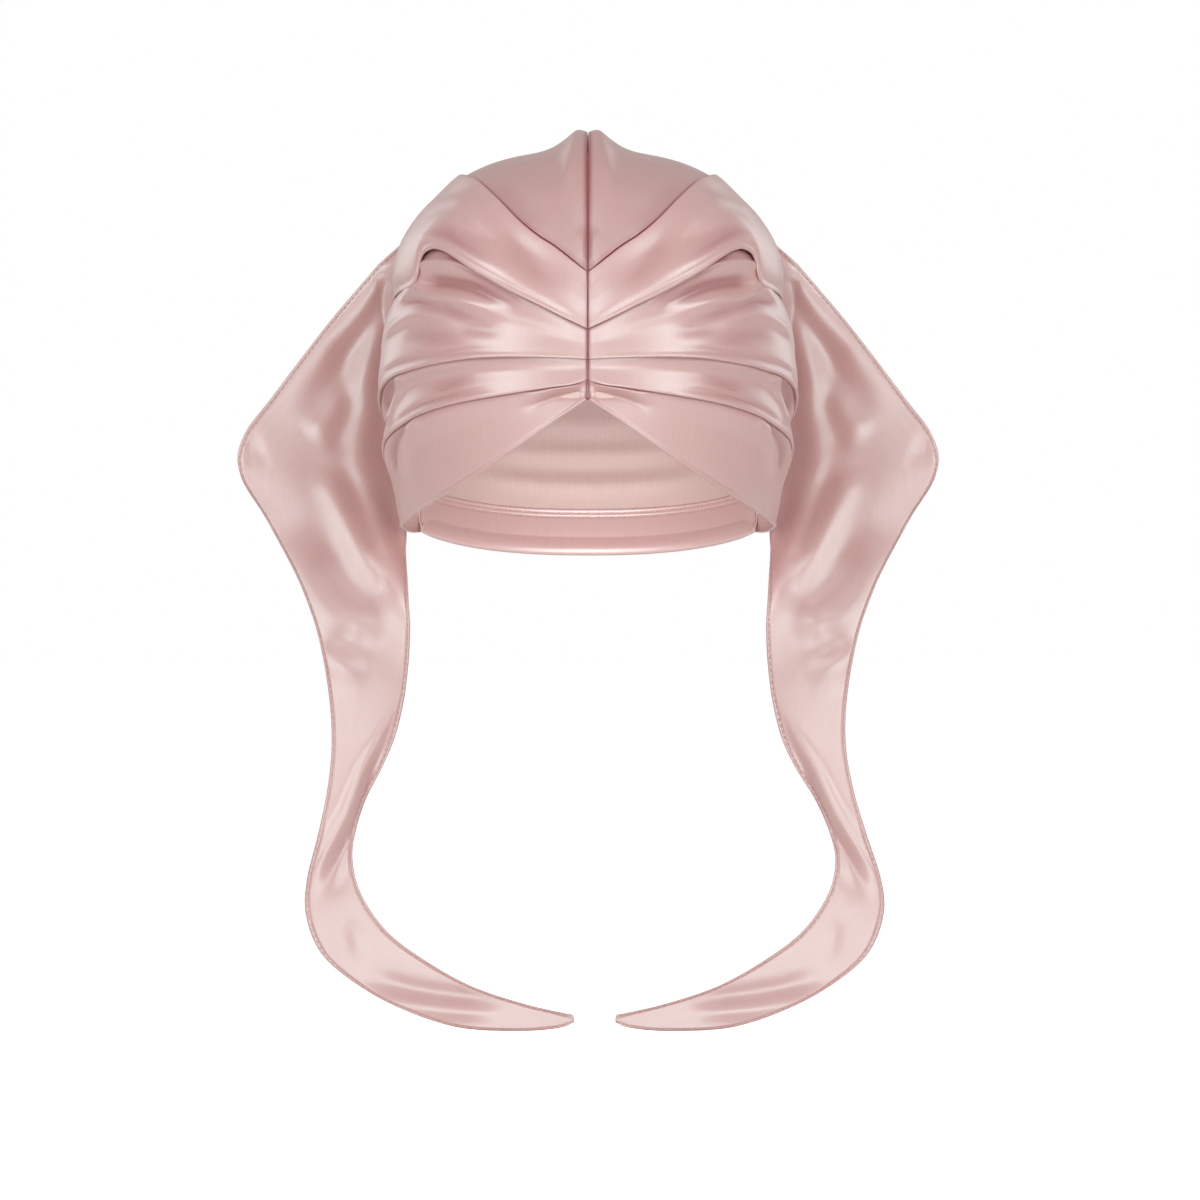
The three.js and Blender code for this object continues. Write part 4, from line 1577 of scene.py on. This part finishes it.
UPPER_FOLDS = Folds(
    (
        Fold(
            ((72.0, 130.0), (61.0, 128.0), (50.0, 124.0), (40.0, 119.5)),
            -1.1,
            (4.0, 6.0),
            fade=(0.35, 0.5),
        ),
        Fold(((60.0, 150.0), (54.5, 143.5), (47.5, 135.5), (39.0, 127.0)), 1.7, (6.5, 7.0), fade=(0.3, 0.5)),
        Fold(((41.9, 131.8), (28.4, 118.4), (12.6, 101.2)), -0.9, (5.0, 6.5), fade=(0.4, 0.4)),
        Fold(((72.0, 127.0), (62.0, 126.2), (50.0, 120.8), (36.0, 112.5)), -0.7, (2.0, 2.6), fade=(0.2, 0.5)),
    )
)
SECOND_FOLDS = Folds(
    (
        # the inner fold that shows in the pocket, and the deep valley below it
        Fold(
            ((76.0, 114.6), (66.6, 115.2), (56.0, 114.6), (48.0, 110.5)),
            2.0,
            (1.8, 2.2),
            fade=(0.1, 0.5),
            over=2.5,
        ),
        Fold(
            ((74.0, 108.4), (64.0, 107.6), (53.0, 105.4), (41.0, 100.6), (28.0, 95.2)),
            -2.6,
            (2.6, 3.0),
            fade=(0.15, 0.5),
            over=1.5,
        ),
        Fold(
            (
                (77.5, 108.0),
                (75.6, 104.6),
                (71.1, 101.6),
                (64.8, 100.2),
                (56.7, 98.6),
                (46.3, 95.6),
                (34.0, 91.5),
            ),
            2.9,
            (2.2, 3.6),
            fade=(0.1, 0.7),
        ),
        Fold(
            (
                (87.5, 95.0),
                (83.3, 98.0),
                (77.4, 98.8),
                (71.1, 97.0),
                (62.0, 94.4),
                (53.1, 91.0),
                (44.0, 88.0),
            ),
            -1.6,
            (2.4, 3.4),
            fade=(0.25, 0.5),
        ),
        Fold(
            (
                (90.0, 82.0),
                (87.4, 86.4),
                (83.7, 90.0),
                (79.2, 92.3),
                (73.4, 93.4),
                (66.0, 92.6),
                (57.0, 89.0),
            ),
            1.7,
            (2.8, 3.6),
            fade=(0.25, 0.5),
        ),
        Fold(((63.0, 88.5), (54.0, 86.4), (45.0, 85.6), (34.0, 85.0)), -0.8, (2.6, 3.6), fade=(0.35, 0.5)),
        Fold(((86.0, 80.5), (76.5, 82.5), (64.0, 81.5), (50.0, 79.8)), -0.9, (4.0, 4.0), fade=(0.3, 0.5)),
        Fold(
            ((89.0, 67.2), (81.9, 70.5), (71.1, 73.2), (54.9, 75.8), (38.0, 77.2)),
            -1.5,
            (1.6, 2.0),
            fade=(0.1, 0.5),
        ),
    )
)
THIRD_FOLDS = Folds(
    (
        Fold(
            ((80.2, 66.2), (83.6, 60.4), (85.4, 56.4), (86.7, 50.0), (86.9, 44.5)),
            2.4,
            (2.4, 4.2),
            fade=(0.1, 0.15),
        ),
        Fold(((84.6, 66.0), (88.4, 60.0), (90.2, 53.0), (89.6, 46.6)), -2.2, (2.6, 4.6), fade=(0.1, 0.2)),
        Fold(((73.0, 59.5), (62.0, 61.7), (50.0, 65.2)), -1.0, (2.8, 3.6), fade=(0.35, 0.5)),
        Fold(
            ((84.2, 45.0), (76.5, 50.8), (65.7, 54.9), (52.0, 58.0), (38.0, 60.9)),
            -1.2,
            (1.5, 1.8),
            fade=(0.1, 0.5),
        ),
    )
)
FOURTH_FOLDS = Folds(
    (
        Fold(
            ((2.0, 59.2), (9.0, 58.6), (16.2, 57.2), (24.5, 54.1), (31.0, 51.5)),
            -1.3,
            (1.7, 2.2),
            FoldShape.BANK,
            fade=(0.1, 0.5),
        ),
        Fold(((73.9, 47.6), (79.7, 38.6), (82.9, 28.0), (84.9, 18.9)), 2.0, (2.2, 4.0), fade=(0.1, 0.25)),
        Fold(((79.6, 44.0), (85.0, 37.4), (87.6, 30.0), (87.6, 21.0)), -1.9, (2.4, 4.4), fade=(0.1, 0.25)),
    )
)
CROWN_FOLDS = Folds(
    (
        Fold(((4.5, 172.0), (8.0, 158.0), (9.0, 140.0)), 1.4, (3.0, 4.0), fade=(0.1, 0.6)),
        Fold(((27.0, 167.0), (24.0, 152.0), (18.0, 134.0)), 1.2, (8.0, 8.0), fade=(0.1, 0.6)),
        Fold(((46.0, 157.0), (36.0, 148.0), (20.0, 131.0)), -1.5, (8.0, 8.0), fade=(0.3, 0.4)),
        Fold(((9.0, 156.0), (11.5, 149.5)), 0.5, (1.2, 1.2), fade=(0.4, 0.4)),
        Fold(((3.2, 134.0), (2.6, 124.0), (2.6, 115.0)), 1.5, (2.2, 2.0), fade=(0.4, 0.2)),
    )
)
TIE_FOLDS = Folds(
    (
        # the long slope from the seam down towards the outer corner
        Fold(
            (
                (89.0, 118.0),
                (93.6, 108.0),
                (99.0, 98.1),
                (105.5, 88.7),
                (113.0, 80.1),
                (118.4, 70.4),
                (123.8, 61.8),
                (128.0, 51.3),
                (131.4, 38.0),
            ),
            -1.4,
            (3.0, 9.0),
            FoldShape.BANK,
            fade=(0.05, 0.5),
        ),
        # the ridge beside it, whose far side falls away behind the wrap
        Fold(
            (
                (86.0, 110.0),
                (90.0, 98.0),
                (94.0, 84.0),
                (96.5, 68.0),
                (97.5, 52.0),
                (98.5, 38.0),
                (95.0, 22.0),
                (88.0, 4.0),
            ),
            -1.3,
            (4.5, 7.5),
            FoldShape.BANK,
            fade=(0.05, 0.3),
        ),
        Fold(
            ((107.5, 68.0), (109.8, 59.9), (113.0, 49.1), (117.5, 40.5), (122.5, 34.6)),
            -1.1,
            (4.5, 6.5),
            FoldShape.BANK,
            fade=(0.4, 0.25),
        ),
        # the bright fold that turns at the middle and runs down to the inner edge
        Fold(
            ((117.5, 30.0), (114.0, 22.0), (108.0, 10.0), (102.0, -3.0), (95.5, -17.0), (88.0, -29.0)),
            -1.2,
            (5.0, 6.0),
            FoldShape.BANK,
            fade=(0.2, 0.4),
        ),
        Fold(
            ((98.5, 22.0), (94.0, 8.0), (89.5, -6.0), (85.5, -20.0)),
            -0.8,
            (4.0, 4.5),
            FoldShape.BANK,
            fade=(0.35, 0.4),
        ),
        Fold(((156.6, 33.8), (151.2, 34.0), (144.9, 36.0)), -0.5, (6.0, 7.0), fade=(0.3, 0.5)),
        # the broad slope that crosses the tie and the smaller one below it
        Fold(
            ((136.0, 6.0), (127.4, -6.8), (121.5, -16.7), (114.3, -28.4), (103.5, -37.8), (89.0, -44.5)),
            -1.9,
            (11.0, 9.0),
            FoldShape.BANK,
            fade=(0.4, 0.2),
        ),
        Fold(
            ((122.0, -47.0), (112.5, -55.8), (106.2, -59.4), (95.0, -64.0)),
            -1.5,
            (6.0, 7.0),
            FoldShape.BANK,
            fade=(0.4, 0.45),
        ),
        # the fold along the neck's inner edge, which opens into the twist
        Fold(
            (
                (84.6, -76.0),
                (88.4, -85.5),
                (93.2, -97.7),
                (98.4, -108.0),
                (102.6, -120.0),
                (106.2, -130.5),
                (109.8, -138.2),
                (113.9, -146.3),
                (117.5, -154.0),
                (120.6, -163.0),
                (121.5, -173.0),
            ),
            -2.2,
            (1.6, 4.6),
            FoldShape.BANK,
            fade=(0.5, 0.3),
        ),
        Fold(((106.7, -176.0), (104.0, -188.0), (101.7, -198.0)), 0.5, (3.0, 4.0), fade=(0.4, 0.4)),
        Fold(
            ((106.0, -203.0), (97.0, -208.0), (85.5, -211.5), (71.1, -214.0), (53.1, -216.0), (34.0, -218.0)),
            -1.2,
            (4.6, 3.2),
            FoldShape.BANK,
            fade=(0.3, 0.35),
        ),
    )
)
TIE_STATIONS = (
    (-0.6, 0.525, -0.525, 0.03, 1.22),
    (-0.745, 0.405, -0.522, -0.054, 1.15),
    (-0.9, 0.262, -0.517, -0.105, 1.0),
    (-0.985, 0.18, -0.513, -0.153, 0.9),
    (-0.998, 0.11, -0.509, -0.198, 0.85),
    (-0.923, 0.02, -0.511, -0.252, 0.82),
    (-0.832, -0.099, -0.517, -0.304, 0.78),
    (-0.772, -0.218, -0.528, -0.357, 0.72),
    (-0.741, -0.337, -0.551, -0.422, 0.65),
    (-0.732, -0.436, -0.59, -0.486, 0.58),
    (-0.744, -0.526, -0.633, -0.545, 0.5),
    (-0.77, -0.615, -0.662, -0.609, 0.42),
    (-0.801, -0.704, -0.67, -0.668, 0.35),
    (-0.804, -0.773, -0.642, -0.737, 0.28),
    (-0.767, -0.843, -0.568, -0.809, 0.22),
    (-0.69, -0.896, -0.454, -0.868, 0.17),
    (-0.562, -0.95, -0.321, -0.918, 0.12),
    (-0.392, -0.993, -0.179, -0.95, 0.08),
    (-0.208, -1.002, -0.08, -0.966, 0.05),
    (-0.052, -0.997, -0.032, -0.972, 0.03),
)
PLEATS = (
    Pleat(
        GORE_SEAM,
        UPPER_LIP,
        62,
        (0.6, 1.6, 2.6, 3.4, 4.2, 4.6, 4.2, 0.9),
        UPPER_FOLDS,
        lip_rise_from=0.5,
        puff_peak=0.66,
        rim=0.9,
        rim_width=1.1,
    ),
    Pleat(
        UPPER_TUCK,
        MIDDLE_LIP,
        66,
        (0.6, 0.6, 0.3, 0.2, 0.4, 3.0, 5.2, 0.9),
        SECOND_FOLDS,
        starts_at_lip=True,
        puff_peak=0.45,
        rim=1.1,
        rim_width=1.5,
        fill=(0.6, 0.6, 0.6, 0.6, 0.7, 0.75, 0.97, 1.06, 1.0, 1.0, 1.0),
    ),
    Pleat(
        MIDDLE_LIP,
        LOWER_LIP,
        36,
        (0.3, 0.4, 0.6, 0.8, 1.1, 1.8, 2.4, 0.9),
        THIRD_FOLDS,
        lip_rise_from=0.35,
        starts_at_lip=True,
        puff_peak=0.45,
        rim=1.0,
        rim_width=1.4,
        fill=(0.6, 0.7, 0.8, 0.9, 1.0, 1.1, 1.1, 1.1, 1.1, 1.0, 1.0),
    ),
    Pleat(
        LOWER_LIP,
        BROW_EDGE,
        44,
        (0.0, 0.2, 0.6, 0.9, 1.2, 1.8, 1.8, 0.6),
        FOURTH_FOLDS,
        lip_rise_from=0.5,
        starts_at_lip=True,
        puff_peak=0.3,
        rim=0.6,
        rim_width=1.0,
        least_rim=1.0,
        fill=(0.6, 0.7, 0.8, 0.9, 1.0, 1.1, 1.1, 1.1, 1.1, 1.0, 1.0),
    ),
)
# Level, rise at the sides, reach, width and depth of the slack folds above the nape, in mm.
SLACK_FOLDS = (
    (33.0, 3.0, 34.0, 3.6, 1.6),
    (18.6, 4.0, 46.0, 3.4, 1.5),
    (26.5, 2.0, 50.0, 3.6, -0.7),
    (47.0, 3.0, 30.0, 5.0, 1.0),
)


# the wrap


@dataclass
class Turban:
    """The whole wrap: it builds its pieces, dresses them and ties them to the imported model."""

    form: HeadForm
    sway: float = 6.0

    def __post_init__(self) -> None:
        """Makes the finishes that the pieces share."""
        self.satin = Satin("polyester satin", "#cc9f9c", "#c19390").material()
        # The crown gores: the same satin with its weave turned 40 degrees and a little rougher, its colour
        # painted darker as painted shade on the top of the head.
        self.shaded_crown_satin = Satin(
            "crown satin painted darker", "#c09390", "#b68885", roughness=0.42, grain_turn=40.0
        ).material()
        self.hem_satin = Satin("hem satin", "#dab2af", "#cfa5a2", roughness=0.42).material()
        self.reverse = Satin(
            "satin reverse",
            "#dbbfba",
            "#d0b2ad",
            # painted shade colour for folds, lip undersides and seams on the reverse
            "#b78a84",
            roughness=0.55,
            ior=1.5,
            gloss=0.5,
            coat=0.0,
            sheen=0.1,
        ).material()
        self.thread = Thread("sewing thread", "#cfa09d").material()

    def dress(self, piece: bpy.types.Object, materials: tuple, node: str | None) -> None:
        """Gives a piece its materials and its place in the model.

        Args:
            piece: the piece.
            materials: its materials, the right side of the cloth first.
            node: the CAD node it stands for, or None for stitches.
        """
        for material in materials:
            piece.data.materials.append(material)
        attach(piece, "root")
        if node:
            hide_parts(node)
        area = sum(face.area for face in piece.data.polygons)
        LOG.info("%s: %d faces, %.4f square metres", piece.name, len(piece.data.polygons), area)

    def front(self) -> None:
        """Builds both pleated halves."""
        front = PleatedFront(self.form, PLEATS)
        grid, fold_shade = front.grid()
        left = lay_cloth("satin_wrap_left", grid, (0.0, -1.0, 0.0), fold_shade)
        right = mirrored(left, "satin_wrap_right")
        for piece, node in ((left, "wrap_left"), (right, "wrap_right")):
            give_wall(piece, front.wall, lined=True)
            self.dress(piece, (self.satin, self.reverse), node)

    def crown(self) -> None:
        """Builds both crown gores."""
        crown = Crown(self.form, CROWN_FOLDS)
        grid, fold_shade = crown.grid()
        left = lay_cloth("satin_crown_gore_left", grid, (0.0, -0.3, 1.0), fold_shade)
        right = mirrored(left, "satin_crown_gore_right")
        for piece, node in ((left, "crown_gore_left"), (right, "crown_gore_right")):
            give_wall(piece, crown.wall, lined=True)
            self.dress(piece, (self.shaded_crown_satin, self.reverse), node)

    def back(self) -> None:
        """Builds the back panel, its hem and the coverstitch."""
        back = Back(self.form, SLACK_FOLDS)
        grid = back.panel()
        panel = lay_cloth("satin_back_panel", grid, (0.0, 1.0, 0.2), np.zeros(grid.shape[:2]))
        give_wall(panel, back.wall, lined=True)
        self.dress(panel, (self.satin, self.reverse), "back_panel")
        grid = back.hem()
        hem = lay_cloth("satin_nape_hem", grid, (0.0, -1.0, 0.0), np.zeros(grid.shape[:2]))
        give_wall(hem, back.wall, lined=False)
        self.dress(hem, (self.hem_satin,), "nape_hem")
        stitches = back.stitches()
        self.dress(stitches, (self.thread,), None)

    def ties(self) -> None:
        """Builds both ties with their topstitching."""
        tie = Tie(self.form, TIE_STATIONS, TIE_FOLDS)
        left, fold_shade = tie.grid()
        right = tie.swayed(left, -self.sway) * np.array([-1.0, 1.0, 1.0])
        for side, grid in (("left", left), ("right", right)):
            piece = lay_cloth(f"satin_tie_{side}", grid, (0.0, -1.0, 0.0), fold_shade)
            give_wall(piece, tie.wall, lined=False)
            self.dress(piece, (self.satin,), f"tie_{side}")
            stitches = tie.topstitch(f"tie_topstitch_{side}", grid)
            self.dress(stitches, (self.thread,), None)


def main() -> None:
    """Builds the wrap and the studio, and reports each piece."""
    logging.basicConfig(level=logging.INFO, format="%(message)s")
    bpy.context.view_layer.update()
    turban = Turban(HeadForm())
    turban.front()
    turban.crown()
    turban.back()
    turban.ties()
    Studio().build()


if __name__ == "__main__":
    main()
